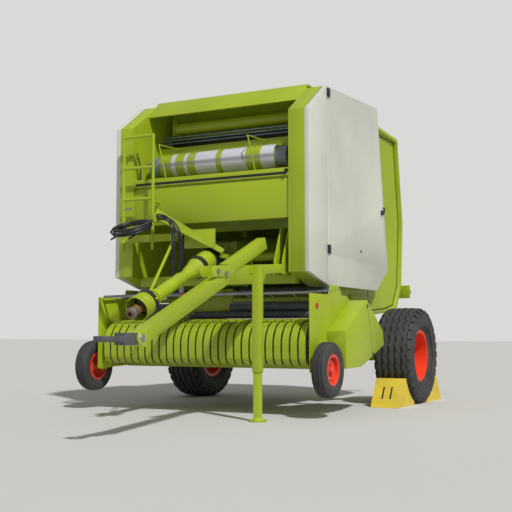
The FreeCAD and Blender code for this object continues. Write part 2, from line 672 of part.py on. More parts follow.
def tailgate_shell():
    outline = gate_outline()
    plate = prism_x(outline, WALL_X, WALL_X + WALL)
    band = prism_x(outline, WALL_X, WALL_X + WALL + RIM_OUT).cut(
        prism_x(open_inset(RIM_BAND), WALL_X - 1, WALL_X + WALL + RIM_OUT + 1))
    skin = prism_x(outline, -WALL_X - 1, WALL_X + 1).cut(
        prism_x(open_inset(GATE_SKIN), -WALL_X - 2, WALL_X + 2))
    lug = cylinder_lug()
    side = join(plate, band)
    knuckles = []
    for x0, x1 in ((-625, -15), (15, 625)):
        tube = pipe_x(HINGE_TUBE_R, HINGE_PIN_R + RUNNING_GAP, x0, x1, HINGE_Y, HINGE_Z)
        foot = prism_x([(HINGE_Y + 16, HINGE_Z - 14), (HINGE_Y + 60, ROOF_Z - 12), (HINGE_Y + 40, ROOF_Z - 12),
                        (HINGE_Y + 4, HINGE_Z - 20)], x0, x1)
        knuckles += [tube, foot]
    return join(side, mirrored(side), skin, lug, mirrored(lug), *knuckles)


def rear_light_bar():
    y0 = LIGHT_BAR_Y
    mid = (LIGHT_BAR_LOW_Z + LIGHT_BAR_TOP_Z) / 2
    bar = block(-LIGHT_BAR_HALF, LIGHT_BAR_HALF, y0, y0 + LIGHT_BAR, mid - 20, mid + 20)
    plate = block(LIGHT_BAR_HALF - LIGHT_PLATE, LIGHT_BAR_HALF, y0, y0 + 5, LIGHT_BAR_LOW_Z, LIGHT_BAR_TOP_Z)
    arm = block(600, 630, GATE_LOW_REAR_Y - 30, y0 + 2, mid - 20, mid + 20)
    whole = join(bar, plate, mirrored(plate), arm, mirrored(arm))
    return whole.cut(prism_x(gate_outline(), -WALL_X, WALL_X))


def rear_lamps():
    """A lamp on each plate, above the bar."""
    z0 = (LIGHT_BAR_LOW_Z + LIGHT_BAR_TOP_Z) / 2 + LIGHT_BAR / 2 + 4
    x1 = LIGHT_BAR_HALF - 12
    return pair(block(x1 - LAMP_WIDTH, x1, LIGHT_BAR_Y + 5, LIGHT_BAR_Y + LIGHT_BAR - 2, z0, z0 + LAMP_HEIGHT))


nodes["rear_lamps"] = rear_lamps()
nodes["tailgate_shell"] = tailgate_shell()
nodes["tailgate_rollers"] = rollers(TAILGATE_ROLLER_ANGLES)
nodes["rear_light_bar"] = rear_light_bar()


# ---- tailgate cylinders -----------------------------------------------------------------------------------
def cylinder_line():
    low = V(CYLINDER_X, CYLINDER_LOW_Y, CYLINDER_LOW_Z)
    high = V(CYLINDER_X, CYLINDER_TOP_Y, CYLINDER_TOP_Z)
    along = (high - low).normalize()
    return low, high, along


def cylinder_barrel(side):
    low, high, along = cylinder_line()
    start = low + along * 40
    tube = rod(BARREL_R, start, low + along * BARREL_LENGTH)
    bore = rod(BARREL_BORE_R, low + along * 60, low + along * (BARREL_LENGTH - 20))
    mouth = rod(ROD_R + RUNNING_GAP, low + along * (BARREL_LENGTH - 30), low + along * (BARREL_LENGTH + 1))
    eye = bar_x(EYE_R, CYLINDER_X - 18, CYLINDER_X + 18, CYLINDER_LOW_Y, CYLINDER_LOW_Z)
    neck = rod(18, low, start + along * 5)
    neck = neck.cut(bar_x(EYE_R - 1, CYLINDER_X - 30, CYLINDER_X + 30, CYLINDER_LOW_Y, CYLINDER_LOW_Z))
    eye = eye.cut(bar_x(EYE_PIN_R + RUNNING_GAP, 0, 2 * CYLINDER_X, CYLINDER_LOW_Y, CYLINDER_LOW_Z))
    whole = tube.cut(bore).cut(mouth).fuse(neck).fuse(eye)
    return whole if side > 0 else mirrored(whole)


def cylinder_rod(side):
    low, high, along = cylinder_line()
    start = low + along * PISTON_START
    bar = rod(ROD_R, start, high)
    head = rod(BARREL_BORE_R - 0.3, start, start + along * PISTON_LENGTH)
    eye = bar_x(EYE_R, CYLINDER_X - 18, CYLINDER_X + 18, CYLINDER_TOP_Y, CYLINDER_TOP_Z)
    whole = join(bar, head, eye)
    return whole if side > 0 else mirrored(whole)


def cylinder_pins():
    """Lower pins of both cylinders, on their brackets on the housing."""
    pin = bar_x(EYE_PIN_R, WALL_X + WALL, CYLINDER_X + 30, CYLINDER_LOW_Y, CYLINDER_LOW_Z)
    boss = bar_x(34, WALL_X + WALL, CYLINDER_X - 20, CYLINDER_LOW_Y, CYLINDER_LOW_Z)
    return pair(join(pin, boss))


for name, side in (("left", 1), ("right", -1)):
    nodes["cylinder_barrel_" + name] = cylinder_barrel(side)
    nodes["cylinder_rod_" + name] = cylinder_rod(side)
nodes["cylinder_pins"] = cylinder_pins()


# ---- chassis, drawbar and jack --------------------------------------------------------------------------------
def cross_member():
    h = CROSS_MEMBER / 2
    return block(-WALL_X, WALL_X, CROSS_MEMBER_Y - h, CROSS_MEMBER_Y + h, CROSS_MEMBER_Z - h, CROSS_MEMBER_Z + h)


def chassis_frame():
    """Axle legs, the front cross member and the stub shafts that the pick-up hangs on."""
    x0, x1 = WALL_X + WALL, WALL_X + WALL + LEG_SHEET
    rear, seat = SPLIT_LOW_Y - 40, AXLE_Z + AXLE_BEAM / 2
    leg = prism_x([(LEG_FRONT_Y, LEG_TOP_Z), (rear, LEG_TOP_Z), (rear, LEG_KNEE_Z), (70, seat + 10),
                   (70, seat), (-70, seat), (LEG_FRONT_Y, LEG_KNEE_Z)], x0, x1)
    foot = block(x0, AXLE_BEAM_HALF - 20, -70, 70, seat, seat + 12)
    shaft = bar_x(PICKUP_PIN_R, x0, END_PLATE_X + END_PLATE + 14, PICKUP_PIVOT_Y, PICKUP_PIVOT_Z)
    low = PICKUP_PIVOT_Z - 40
    arm = prism_x([(PICKUP_PIVOT_Y - 60, HANGER_TOP_Z), (PICKUP_PIVOT_Y + 60, HANGER_TOP_Z),
                   (PICKUP_PIVOT_Y + 40, low), (PICKUP_PIVOT_Y - 40, low)], x0, x0 + HANGER_SHEET)
    cap = bar_x(PICKUP_PIN_R + 20, x0, x0 + 60, PICKUP_PIVOT_Y, PICKUP_PIVOT_Z)
    side = join(leg, foot)
    hanger = join(shaft, arm, cap)
    return Part.makeCompound([side, mirrored(side), hanger, mirrored(hanger), cross_member()])


def drawbar():
    """Horizontal beam, inclined brace and the plates that carry them on the housing."""
    beam = slanted_bar(BEAM_DEPTH, BEAM_WIDTH, (JOINT_Y, JOINT_Z), (BEAM_REAR_Y, BEAM_REAR_Z), DRAWBAR_X)
    brace = slanted_bar(BRACE_DEPTH, BEAM_WIDTH + 10, (JOINT_Y + 50, JOINT_Z + 14), (BRACE_TOP_Y, BRACE_TOP_Z),
                        DRAWBAR_X)
    plates = [prism_x([(BEAM_REAR_Y - 60, BEAM_REAR_Z - 50), (BEAM_REAR_Y - 60, BEAM_REAR_Z + 60),
                       (BEAM_REAR_Y + 60, BEAM_REAR_Z + 330), (BEAM_REAR_Y + 150, BEAM_REAR_Z + 330),
                       (BEAM_REAR_Y + 156, BEAM_REAR_Z - 50)], x, x + 10)
              for x in (DRAWBAR_X - BEAM_WIDTH / 2 - 10, DRAWBAR_X + BEAM_WIDTH / 2)]
    fishplates = [fishplate(DRAWBAR_X + side * (TONGUE_WIDTH + FISHPLATE_SHEET) / 2) for side in (-1, 1)]
    spacers = block(DRAWBAR_X - TONGUE_WIDTH / 2, DRAWBAR_X + TONGUE_WIDTH / 2, JOINT_Y + 40, JOINT_Y + 100,
                    JOINT_Z - 20, JOINT_Z + 30)
    whole = join(beam, brace, spacers, *(plates + fishplates))
    return whole.cut(cross_member()).cut(tongue_tube())


def fishplate(x):
    """Round-nosed plate beside the joint of beam and tongue."""
    front = (JOINT_Y - FISHPLATE_FRONT, JOINT_Z - 11)
    bar = slanted_bar(2 * FISHPLATE_HALF, FISHPLATE_SHEET, front, (JOINT_Y + FISHPLATE_REAR, JOINT_Z + 9), x)
    return bar.fuse(bar_x(FISHPLATE_HALF, x - FISHPLATE_SHEET / 2, x + FISHPLATE_SHEET / 2, *front))


def tongue_tube():
    rear_z = JOINT_Z - TONGUE_DROP
    dy, dz = JOINT_Y - TONGUE_FRONT_Y, rear_z - TONGUE_FRONT_Z
    length = math.hypot(dy, dz)
    end = (JOINT_Y + 25 * dy / length, rear_z + 25 * dz / length)
    return slanted_bar(2 * TONGUE_R, TONGUE_WIDTH, (TONGUE_FRONT_Y, TONGUE_FRONT_Z), end, DRAWBAR_X)


def tongue():
    """The long hinged tube of the drawbar, rounded at its front end."""
    nose = bar_x(TONGUE_R, DRAWBAR_X - TONGUE_WIDTH / 2, DRAWBAR_X + TONGUE_WIDTH / 2, TONGUE_FRONT_Y, TONGUE_FRONT_Z)
    disc = bar_x(TONGUE_R + 4, DRAWBAR_X + TONGUE_WIDTH / 2, DRAWBAR_X + TONGUE_WIDTH / 2 + 8,
                 TONGUE_FRONT_Y, TONGUE_FRONT_Z)
    return join(tongue_tube(), nose, disc)


def towing_eye():
    """Flat cast eye ahead of the tongue, with an upright bore for the hitch pin."""
    ring_y = EYE_TIP_Y + EYE_RING_R
    z0 = TONGUE_FRONT_Z - EYE_THICK / 2
    ring = Part.makeCylinder(EYE_RING_R, EYE_THICK, V(DRAWBAR_X, ring_y, z0))
    rear = TONGUE_FRONT_Y - TONGUE_R - 1
    shank = block(DRAWBAR_X - 34, DRAWBAR_X + 34, ring_y, rear, z0, z0 + EYE_THICK)
    collar = block(DRAWBAR_X - 38, DRAWBAR_X + 38, rear - 130, rear, TONGUE_FRONT_Z - 36, TONGUE_FRONT_Z + 36)
    bore = Part.makeCylinder(EYE_BORE_R, EYE_THICK + 2, V(DRAWBAR_X, ring_y, z0 - 1))
    return join(ring, shank, collar).cut(bore)


def jack_x():
    return DRAWBAR_X + BEAM_WIDTH / 2 + 8 + JACK_SLEEVE / 2


def jack_sleeve():
    h = JACK_SLEEVE / 2
    x = jack_x()
    tube = block(x - h, x + h, JACK_Y - h, JACK_Y + h, JACK_SLEEVE_LOW_Z, JACK_TOP_Z)
    inner = h - JACK_SHEET
    tube = tube.cut(block(x - inner, x + inner, JACK_Y - inner, JACK_Y + inner, JACK_SLEEVE_LOW_Z - 1, JACK_TOP_Z - 8))
    beam_z = JOINT_Z + (BEAM_REAR_Z - JOINT_Z) * (JACK_Y - JOINT_Y) / (BEAM_REAR_Y - JOINT_Y)
    bracket = block(DRAWBAR_X + BEAM_WIDTH / 2, x - h, JACK_Y - 45, JACK_Y + 45, beam_z - 30, beam_z + 22)
    return join(tube, bracket)


def jack_leg():
    h = JACK_LEG / 2
    x = jack_x()
    foot = Part.makeCylinder(JACK_FOOT_R, JACK_FOOT_THICK, V(x, JACK_Y, 0))
    skirt = Part.makeCone(JACK_FOOT_R * 0.62, h, 20, V(x, JACK_Y, JACK_FOOT_THICK))
    leg = block(x - h, x + h, JACK_Y - h, JACK_Y + h, JACK_FOOT_THICK, JACK_LEG_TOP_Z)
    return join(foot, skirt, leg)


nodes["chassis_frame"] = chassis_frame()
nodes["drawbar"] = drawbar()
nodes["tongue"] = tongue()
nodes["towing_eye"] = towing_eye()
nodes["jack_sleeve"] = jack_sleeve()
nodes["jack_leg"] = jack_leg()


def step_plate():
    return block(STEP_X0, STEP_X1, LADDER_Y - 6, LADDER_Y + 2, STEP_Z - STEP_THICK / 2, STEP_Z + STEP_THICK / 2)


# ---- drive shaft and gearbox -------------------------------------------------------------------------------------
def shaft_axis():
    front = V(0, SHAFT_FRONT_Y, SHAFT_FRONT_Z)
    rear = V(0, SHAFT_REAR_Y, SHAFT_REAR_Z)
    return front, rear, (rear - front).normalize()


def turned_on_shaft(profile):
    """A closed profile of (distance behind the front bell, radius) points on the shaft's axis."""
    front, rear, along = shaft_axis()
    up = V(0, -along.z, along.y)
    points = [front + along * s + up * r for s, r in profile]
    return Part.Face(Part.makePolygon(points + [points[0]])).revolve(front, along, 360)


def pto_guard():
    length = math.hypot(SHAFT_REAR_Y - SHAFT_FRONT_Y, SHAFT_REAR_Z - SHAFT_FRONT_Z)
    s, b, r = GUARD_SHEET, BELL_R, GUARD_TUBE_R
    return turned_on_shaft([(0, b - s), (0, b), (BELL_LENGTH, b), (BELL_LENGTH, b + 5), (BELL_LENGTH + 16, b + 5),
                            (BELL_LENGTH + 24, r + 10), (BELL_LENGTH + 60, r), (620, r), (620, r - 7), (length - 200, r - 7),
                            (length - 150, r + 12), (length - 90, b - 8), (length - 20, b - 8), (length - 20, b - 8 - s),
                            (length - 88, b - 8 - s), (length - 146, r + 12 - s), (length - 196, r - 7 - s),
                            (616, r - 7 - s), (612, r - s), (BELL_LENGTH + 62, r - s), (BELL_LENGTH + 20, r + 10 - s),
                            (BELL_LENGTH - 2, b - s)])


def pto_shaft():
    """Splined yoke that stands out of the front bell, its cross, and the bar to the rear joint."""
    front, rear, along = shaft_axis()
    up = V(0, -along.z, along.y)
    hub = rod(YOKE_HUB_R, front - along * YOKE_REACH, front + along * 5)
    hub = hub.cut(rod(YOKE_BORE_R, front - along * (YOKE_REACH + 1), front - along * 10))
    a, b = front - along * 5, front + along * (JOINT_CROSS + 16)
    pieces = [slanted_bar(EAR_WIDTH, EAR_SHEET, (a.y, a.z), (b.y, b.z), x) for x in (-EAR_X, EAR_X)]
    for side in (-1, 1):
        a, b = (front + along * s + up * (side * EAR_X) for s in (JOINT_CROSS - 16, JOINT_CROSS + 65))
        pieces.append(slanted_bar(EAR_SHEET, EAR_WIDTH, (a.y, a.z), (b.y, b.z), 0))
    centre = front + along * JOINT_CROSS
    for way in (V(EAR_X + 6, 0, 0), up * (EAR_X + 6)):
        pieces.append(rod(CROSS_PIN_R, centre - way, centre + way))
    pieces.append(rod(EAR_X + 10, front + along * (JOINT_CROSS + 55), front + along * (JOINT_CROSS + 75)))
    pieces.append(rod(SHAFT_BAR_R, front + along * (JOINT_CROSS + 60), rear - along * 30))
    pieces.append(rod(REAR_YOKE_R, rear - along * 90, rear - along * 26))
    return join(hub, *pieces)


def gearbox():
    front, rear, along = shaft_axis()
    body = block(-GEARBOX_HALF, GEARBOX_HALF, GEARBOX_FRONT_Y, GEARBOX_REAR_Y, GEARBOX_LOW_Z, GEARBOX_TOP_Z)
    mouth = rear + along * 20
    cone = Part.makeCone(INPUT_CONE_R, 0.8 * INPUT_CONE_R, GEARBOX_FRONT_Y - mouth.y, mouth, V(0, 1, 0))
    stub = rod(SHAFT_BAR_R, rear - along * 18, rear + along * 40)
    tube = bar_x(CROSS_TUBE_R, GEARBOX_HALF, WALL_X, CROSS_TUBE_Y, CROSS_TUBE_Z)
    foot = block(BELL_R + 5, BELL_R + 20, CROSS_MEMBER_Y + CROSS_MEMBER / 2, GEARBOX_REAR_Y,
                 CROSS_MEMBER_Z - CROSS_MEMBER / 2, GEARBOX_LOW_Z + 4)
    return join(body, cone, stub, tube, foot, mirrored(foot))


def shaft_rest():
    """Ring round the parked shaft's guard, on a rod that comes down from the step."""
    front, rear, along = shaft_axis()
    centre = front + along * REST_S
    outer, inner = GUARD_TUBE_R + 1 + REST_RING, GUARD_TUBE_R + 1
    start, end = centre - along * 13, centre + along * 13
    ring = rod(outer, start, end).cut(rod(inner, start - along, end + along))
    hanger = rod(REST_ROD_R, centre + V(-inner - REST_RING / 2, 0, 0), V(STEP_X1 - 20, LADDER_Y - 6, STEP_Z))
    return join(ring, hanger.cut(rod(inner, start - along * 60, end + along * 60))).cut(step_plate())


nodes["pto_guard"] = pto_guard()
nodes["pto_shaft"] = pto_shaft()
nodes["gearbox"] = gearbox()
nodes["shaft_rest"] = shaft_rest()


# ---- ladder, step and hose arm ---------------------------------------------------------------------------------------
def ladder():
    rails = [Part.makeCylinder(LADDER_TUBE_R, LADDER_TOP_Z - LADDER_LOW_Z, V(x, LADDER_Y, LADDER_LOW_Z))
             for x in (LADDER_X - LADDER_HALF, LADDER_X + LADDER_HALF)]
    rungs = [bar_x(LADDER_TUBE_R, LADDER_X - LADDER_HALF, LADDER_X + LADDER_HALF, LADDER_Y, LADDER_TOP_Z - 12 - i * RUNG_PITCH)
             for i in range(3)]
    tread = block(STEP_X0, STEP_X1, LADDER_Y - 6, FRONT_Y, STEP_Z + STEP_THICK / 2 - 8, STEP_Z + STEP_THICK / 2)
    x = LADDER_X - LADDER_HALF
    ties = [rod(8, V(x, LADDER_Y, z), V(x, FRONT_Y, z)) for z in (LADDER_LOW_Z + TIE_RISE, LADDER_TOP_Z - 160)]
    strut_z = (PANEL_LOW_Z + PANEL_TOP_Z) / 2 + 35
    right_x = LADDER_X + LADDER_HALF
    strut = rod(10, V(right_x, LADDER_Y, strut_z), V(right_x, PANEL_FRONT_Y, strut_z))
    return join(step_plate(), tread, strut, *(rails + rungs + ties))


def coil_point(degrees, out=0.0, lift=0.0):
    """A point of the coil's middle line, moved out from the coil's centre and along its axis."""
    angle, tilt = math.radians(degrees), math.radians(COIL_TILT)
    flat = V((COIL_R + out) * math.cos(angle), (COIL_R + out) * math.sin(angle), lift)
    turned = V(flat.x, flat.y * math.cos(tilt) - flat.z * math.sin(tilt),
               flat.y * math.sin(tilt) + flat.z * math.cos(tilt))
    return V(COIL_X, COIL_Y, COIL_Z) + turned


def coil_fitting():
    """Fitting that the coiled hose starts from, with the rod that holds it on the left hook."""
    tilt = math.radians(COIL_TILT)
    backward = V(0, math.cos(tilt), math.sin(tilt))
    start = coil_point(180) + backward * 20
    fitting = rod(COIL_HOSE_R + 4, start, start + backward * 45)
    return join(fitting, rod(HOOK_R, start + backward * 40, under_coil(LADDER_X - LADDER_HALF, HOOK_KNEE_Y)))


def under_coil(x, y, rise=0.0):
    """A point of a hook's rod, just below the coil."""
    tilt = math.radians(COIL_TILT)
    drop = (COIL_TUBE_R + HOOK_R + 1) / math.cos(tilt)
    return V(x, y, COIL_Z + (y - COIL_Y) * math.tan(tilt) - drop + rise)


def hose_coil():
    """Outer shape of the coiled hose: a ring of eight-sided section."""
    section = [on_circle(COIL_R, 0, COIL_TUBE_R, 22.5 + 45 * k) for k in range(8)]
    points = [V(r, 0, z) for r, z in section]
    ring = Part.Face(Part.makePolygon(points + [points[0]])).revolve(V(0, 0, 0), V(0, 0, 1), 360)
    ring.rotate(V(0, 0, 0), V(1, 0, 0), COIL_TILT)
    ring.translate(V(COIL_X, COIL_Y, COIL_Z))
    return ring.cut(coil_fitting())


def hose_arm():
    """Folded sheet that runs down from the ladder to the gearbox, with an upright plate and the hoses' clamp."""
    start, end = V(*ARM_START), V(GEARBOX_HALF, ARM_END_Y, GEARBOX_TOP_Z - ARM_END_DROP)
    side = (end - start).cross(V(0, 0, 1)).normalize()
    drop = side.cross(end - start).normalize()
    a = Part.makePolygon([start, end, end + side * 60, start + side * 60, start])
    web = Part.Face(a).extrude(drop * ARM_SHEET)
    b = Part.makePolygon([start, end, end + drop * 40, start + drop * 85, start])
    flange = Part.Face(b).extrude(side * ARM_SHEET)
    plate = block(-185, 100, -1770, -1762, 1300, 1450)
    tie = block(end.x - 19, end.x - 3, end.y - 10, GEARBOX_FRONT_Y, end.z - 32, end.z + 6)
    clamp = block(CLAMP_X - 42, CLAMP_X, start.y - 67, start.y - 17, start.z - 40, start.z + 29)
    way = block(CLAMP_X, CLAMP_X + 70, start.y - 75, start.y - 12, start.z - 40, start.z + 40)
    return join(join(web, flange).cut(way), plate, tie, clamp).cut(hose_coil())


nodes["ladder"] = ladder()
nodes["hose_arm"] = hose_arm()


# ---- pick-up -----------------------------------------------------------------------------------------------------------
def end_plate():
    outline = [(PLATE_FRONT_Y, PLATE_LOW_Z), (PLATE_FRONT_Y, PLATE_TOP_Z), (GUARD_PIVOT_Y - 65, PLATE_TOP_Z),
               (GUARD_PIVOT_Y - 35, GUARD_PIVOT_Z + 45), (ROLL_Y + 55, GUARD_PIVOT_Z + 45),
               (ROLL_Y + 120, PLATE_TOP_Z), (-1150, PLATE_TOP_Z), (PICKUP_PIVOT_Y + 60, PICKUP_PIVOT_Z + 80),
               (PICKUP_PIVOT_Y + 60, PICKUP_PIVOT_Z - 60), (-1150, PLATE_LOW_Z + 25)]
    plate = prism_x(outline, END_PLATE_X, END_PLATE_X + END_PLATE)
    return plate.cut(bar_x(PICKUP_PIN_R + RUNNING_GAP, END_PLATE_X - 1, END_PLATE_X + END_PLATE + 1,
                           PICKUP_PIVOT_Y, PICKUP_PIVOT_Z))


def gauge_arm():
    x0 = END_PLATE_X + END_PLATE
    return prism_x([(GAUGE_Y - 40, GAUGE_Z - 30), (GAUGE_Y - 40, GAUGE_Z + 35), (-1500, 600), (-1430, 600),
                    (-1430, 520), (GAUGE_Y + 40, GAUGE_Z - 30)], x0, x0 + 14)


def pickup_frame():
    plate = end_plate()
    x0 = END_PLATE_X + END_PLATE
    arm = gauge_arm()
    spindle = bar_x(GAUGE_SPINDLE_R, x0, GAUGE_X + 40, GAUGE_Y, GAUGE_Z)
    beam = block(-END_PLATE_X, END_PLATE_X, BACK_SHEET_Y, BACK_SHEET_Y + 60, REEL_Z + 4, REEL_Z + 84)
    side = join(plate, arm, spindle)
    carrier_y, carrier_z = ROLL_Y + LOWER_ROLL_R + 5, LOWER_ROLL_Z + LOWER_ROLL_R + 8
    carrier = block(-END_PLATE_X, END_PLATE_X, carrier_y, carrier_y + CARRIER, carrier_z, carrier_z + CARRIER)
    feed_plate = block(ROLL_RIGHT_X + 20, ROLL_LEFT_X, carrier_y - FEED_SHEET, carrier_y, FEED_LOW_Z, FEED_TOP_Z)
    return join(side, mirrored(side), beam, carrier, feed_plate)


def band_outline(sheet):
    """Side outline of a band, moved inwards by a sheet's thickness: flat top, slope, upright face, round heel."""
    front, r = BAND_FRONT - sheet, BAND_R - sheet
    crease, slope = BAND_CREASE - 0.4 * sheet, BAND_SLOPE_REAR - 0.3 * sheet
    heel = [(-front, -0.60 * r), (-0.94 * front, -0.80 * r), (-0.78 * front, -0.94 * r), (-0.55 * front, -r)]
    points = [(-slope, r), (-front, crease)] + heel
    points = [(REEL_Y + y, REEL_Z + z) for y, z in points]
    return [(BACK_SHEET_Y + sheet, REEL_Z + r)] + points + [(BACK_SHEET_Y + sheet, REEL_Z - r)]


def stripper_band():
    """One band: over the reel, down its face, and back under it."""
    return prism_x(band_outline(0), 0, BAND_WIDTH).cut(prism_x(band_outline(BAND_SHEET), -1, BAND_WIDTH + 1))


def strippers():
    band = stripper_band()
    first = -(BAND_COUNT - 1) * BAND_PITCH / 2 - BAND_WIDTH / 2
    bands = [band.translated(V(first + i * BAND_PITCH, 0, 0)) for i in range(BAND_COUNT)]
    back = block(-END_PLATE_X, END_PLATE_X, BACK_SHEET_Y - 6, BACK_SHEET_Y, REEL_Z - BAND_R, REEL_Z + BAND_R)
    tie = block(-END_PLATE_X, END_PLATE_X, TIE_BAR_Y, TIE_BAR_Y + TIE_BAR, REEL_Z - BAND_R - TIE_BAR,
                REEL_Z - BAND_R + BAND_SHEET / 2)
    return join(back, tie, *bands)


def pickup_reel():
    """Centre tube, end discs and tine bars, with a tine in every gap between the bands."""
    half = END_PLATE_X - CLEAR
    pieces = [bar_x(REEL_TUBE_R, -half, half, REEL_Y, REEL_Z)]
    pieces += [bar_x(REEL_BAR_ORBIT + 25, x, x + 6, REEL_Y, REEL_Z) for x in (-half, half - 6)]
    for n in range(REEL_BARS):
        angle = 45 + n * 360 / REEL_BARS
        by, bz = on_circle(REEL_Y, REEL_Z, REEL_BAR_ORBIT, angle)
        pieces.append(bar_x(REEL_BAR_R, -half, half, by, bz))
        ty, tz = on_circle(REEL_Y, REEL_Z, REEL_TIP_R, angle)
        for i in range(BAND_COUNT - 1):
            x = (i - (BAND_COUNT - 2) / 2) * BAND_PITCH
            pieces.append(rod(TINE_R, V(x, by, bz), V(x, ty, tz)))
    return join(*pieces)


def crop_guard():
    """Rod and fingers that hold the crop down, on two arms."""
    half = END_PLATE_X - 20
    bar = bar_x(GUARD_BAR_R, -half, half, GUARD_BAR_Y, GUARD_BAR_Z)
    pin = END_PLATE_X - RUNNING_GAP
    pivot = bar_x(GUARD_BAR_R, -pin, pin, GUARD_PIVOT_Y, GUARD_PIVOT_Z)
    arms = [rod(9, V(x, GUARD_BAR_Y, GUARD_BAR_Z), V(x, GUARD_PIVOT_Y, GUARD_PIVOT_Z))
            for x in (-half + 12, half - 12)]
    count = int((half - 40) / FINGER_PITCH)
    fingers = [rod(FINGER_R, V(i * FINGER_PITCH, GUARD_BAR_Y, GUARD_BAR_Z),
                   V(i * FINGER_PITCH, GUARD_BAR_Y + FINGER_REACH, GUARD_BAR_Z - 0.25 * FINGER_REACH))
               for i in range(-count, count + 1)]
    return join(bar, pivot, *(arms + fingers))


def side_rolls():
    """Dark rolls above the pick-up, on both sides of the feed plate, and the long one below them."""
    pieces = []
    rolls = ((UPPER_ROLL_R, UPPER_ROLL_Z, ROLL_LEFT_X + 100), (LOWER_ROLL_R, LOWER_ROLL_Z, ROLL_LEFT_X))
    for radius, z, inner in rolls:
        pieces.append(bar_x(radius, inner, END_PLATE_X, ROLL_Y, z))
        pieces.append(bar_x(radius, -END_PLATE_X, ROLL_RIGHT_X, ROLL_Y, z))
    pieces.append(bar_x(FEED_ROLL_R, FEED_ROLL_END_X, END_PLATE_X, ROLL_Y, FEED_ROLL_Z))
    return Part.makeCompound(pieces)


def pickup_drive_guard():
    x0, x1 = END_PLATE_X + END_PLATE, 1120
    front = GAUGE_Y + GAUGE_OD / 2 + CLEAR + 8
    outline = [(front, 356), (front, 642), (-1106, 887), (-740, 641), (-719, 525), (-1229, 363)]
    body = prism_x(outline, x0, x1)
    pin = bar_x(PICKUP_PIN_R + 12, x0 - 1, x0 + 40, PICKUP_PIVOT_Y, PICKUP_PIVOT_Z)
    return body.cut(pin).cut(gauge_arm())


nodes["pickup_frame"] = pickup_frame()
nodes["strippers"] = strippers()
nodes["pickup_reel"] = pickup_reel()
nodes["crop_guard"] = crop_guard()
nodes["side_rolls"] = side_rolls()
nodes["pickup_drive_guard"] = pickup_drive_guard()


# ---- chocks and hoses ------------------------------------------------------------------------------------------------------
def wheel_chocks():
    """A chock ahead of the left wheel and one behind it, hollowed to the tyre."""
    body = prism_x([(-CHOCK_FRONT_Y, 0), (-CHOCK_TOP_OUT_Y, CHOCK_HEIGHT), (-CHOCK_TOE_Y, CHOCK_HEIGHT),
                    (-CHOCK_TOE_Y, 0)], CHOCK_X0, CHOCK_X1)
    body = body.cut(bar_x(TYRE_OD / 2 + CHOCK_GAP, CHOCK_X0 - 1, CHOCK_X1 + 1, 0, AXLE_Z))
    rear = body.mirror(V(0, 0, 0), V(0, 1, 0))
    return Part.makeCompound([body, rear])


def hose_hooks():
    """Two rods that carry the coil ahead of the ladder, and the coil's fitting."""
    rail_front = LADDER_Y - LADDER_TUBE_R + 4
    right_x, left_x, middle_x = LADDER_X + LADDER_HALF, LADDER_X - LADDER_HALF, COIL_X - 0.73 * COIL_R
    tip_y = COIL_Y - COIL_R - COIL_TUBE_R
    routes = [[under_coil(right_x, rail_front), under_coil(right_x, tip_y), under_coil(right_x, tip_y - 25, 70)],
              [under_coil(left_x, rail_front), under_coil(left_x, HOOK_KNEE_Y), under_coil(middle_x, HOOK_KNEE_Y - 43),
               under_coil(middle_x, tip_y), under_coil(middle_x, tip_y - 25, 70)]]
    hooks = []
    for route in routes:
        pieces = [rod(HOOK_R, a, b) for a, b in zip(route, route[1:])]
        hooks.append(join(*(pieces + [Part.makeSphere(HOOK_R, point) for point in route[1:]])))
    rails = [rod(LADDER_TUBE_R, V(x, LADDER_Y, LADDER_LOW_Z), V(x, LADDER_Y, LADDER_TOP_Z)) for x in (left_x, right_x)]
    return Part.makeCompound([hooks[0].cut(rails[1]), join(hooks[1], coil_fitting()).cut(rails[0])])


def hose_tube(name, radius, route):
    """Straight runs joined by arcs as large as the runs allow."""
    edges, at, smallest = [], route[0], None
    for before, here, after in zip(route, route[1:], route[2:]):
        to_before, to_after = before - here, after - here
        a, b = V(to_before).normalize(), V(to_after).normalize()
        half_turn = (math.pi - a.getAngle(b)) / 2
        reach = 0.45 * min(to_before.Length, to_after.Length)
        bend = reach / math.tan(half_turn)
        smallest = bend if smallest is None else min(smallest, bend)
        bisector = (a + b).normalize()
        middle = here + bisector * (math.hypot(bend, reach) - bend)
        start, end = here + a * reach, here + b * reach
        edges += [Part.LineSegment(at, start).toShape(), Part.Arc(start, middle, end).toShape()]
        at = end
    edges.append(Part.LineSegment(at, route[-1]).toShape())
    path = Part.Wire(edges)
    section = Part.Wire(Part.Circle(route[0], route[1] - route[0], radius).toShape())
    tube = path.makePipeShell([section], True, False)
    ratio = tube.Volume / (math.pi * radius ** 2 * path.Length)
    print(name, "length", round(path.Length), "smallest bend", round(smallest), "volume ratio", round(ratio, 4))
    return tube


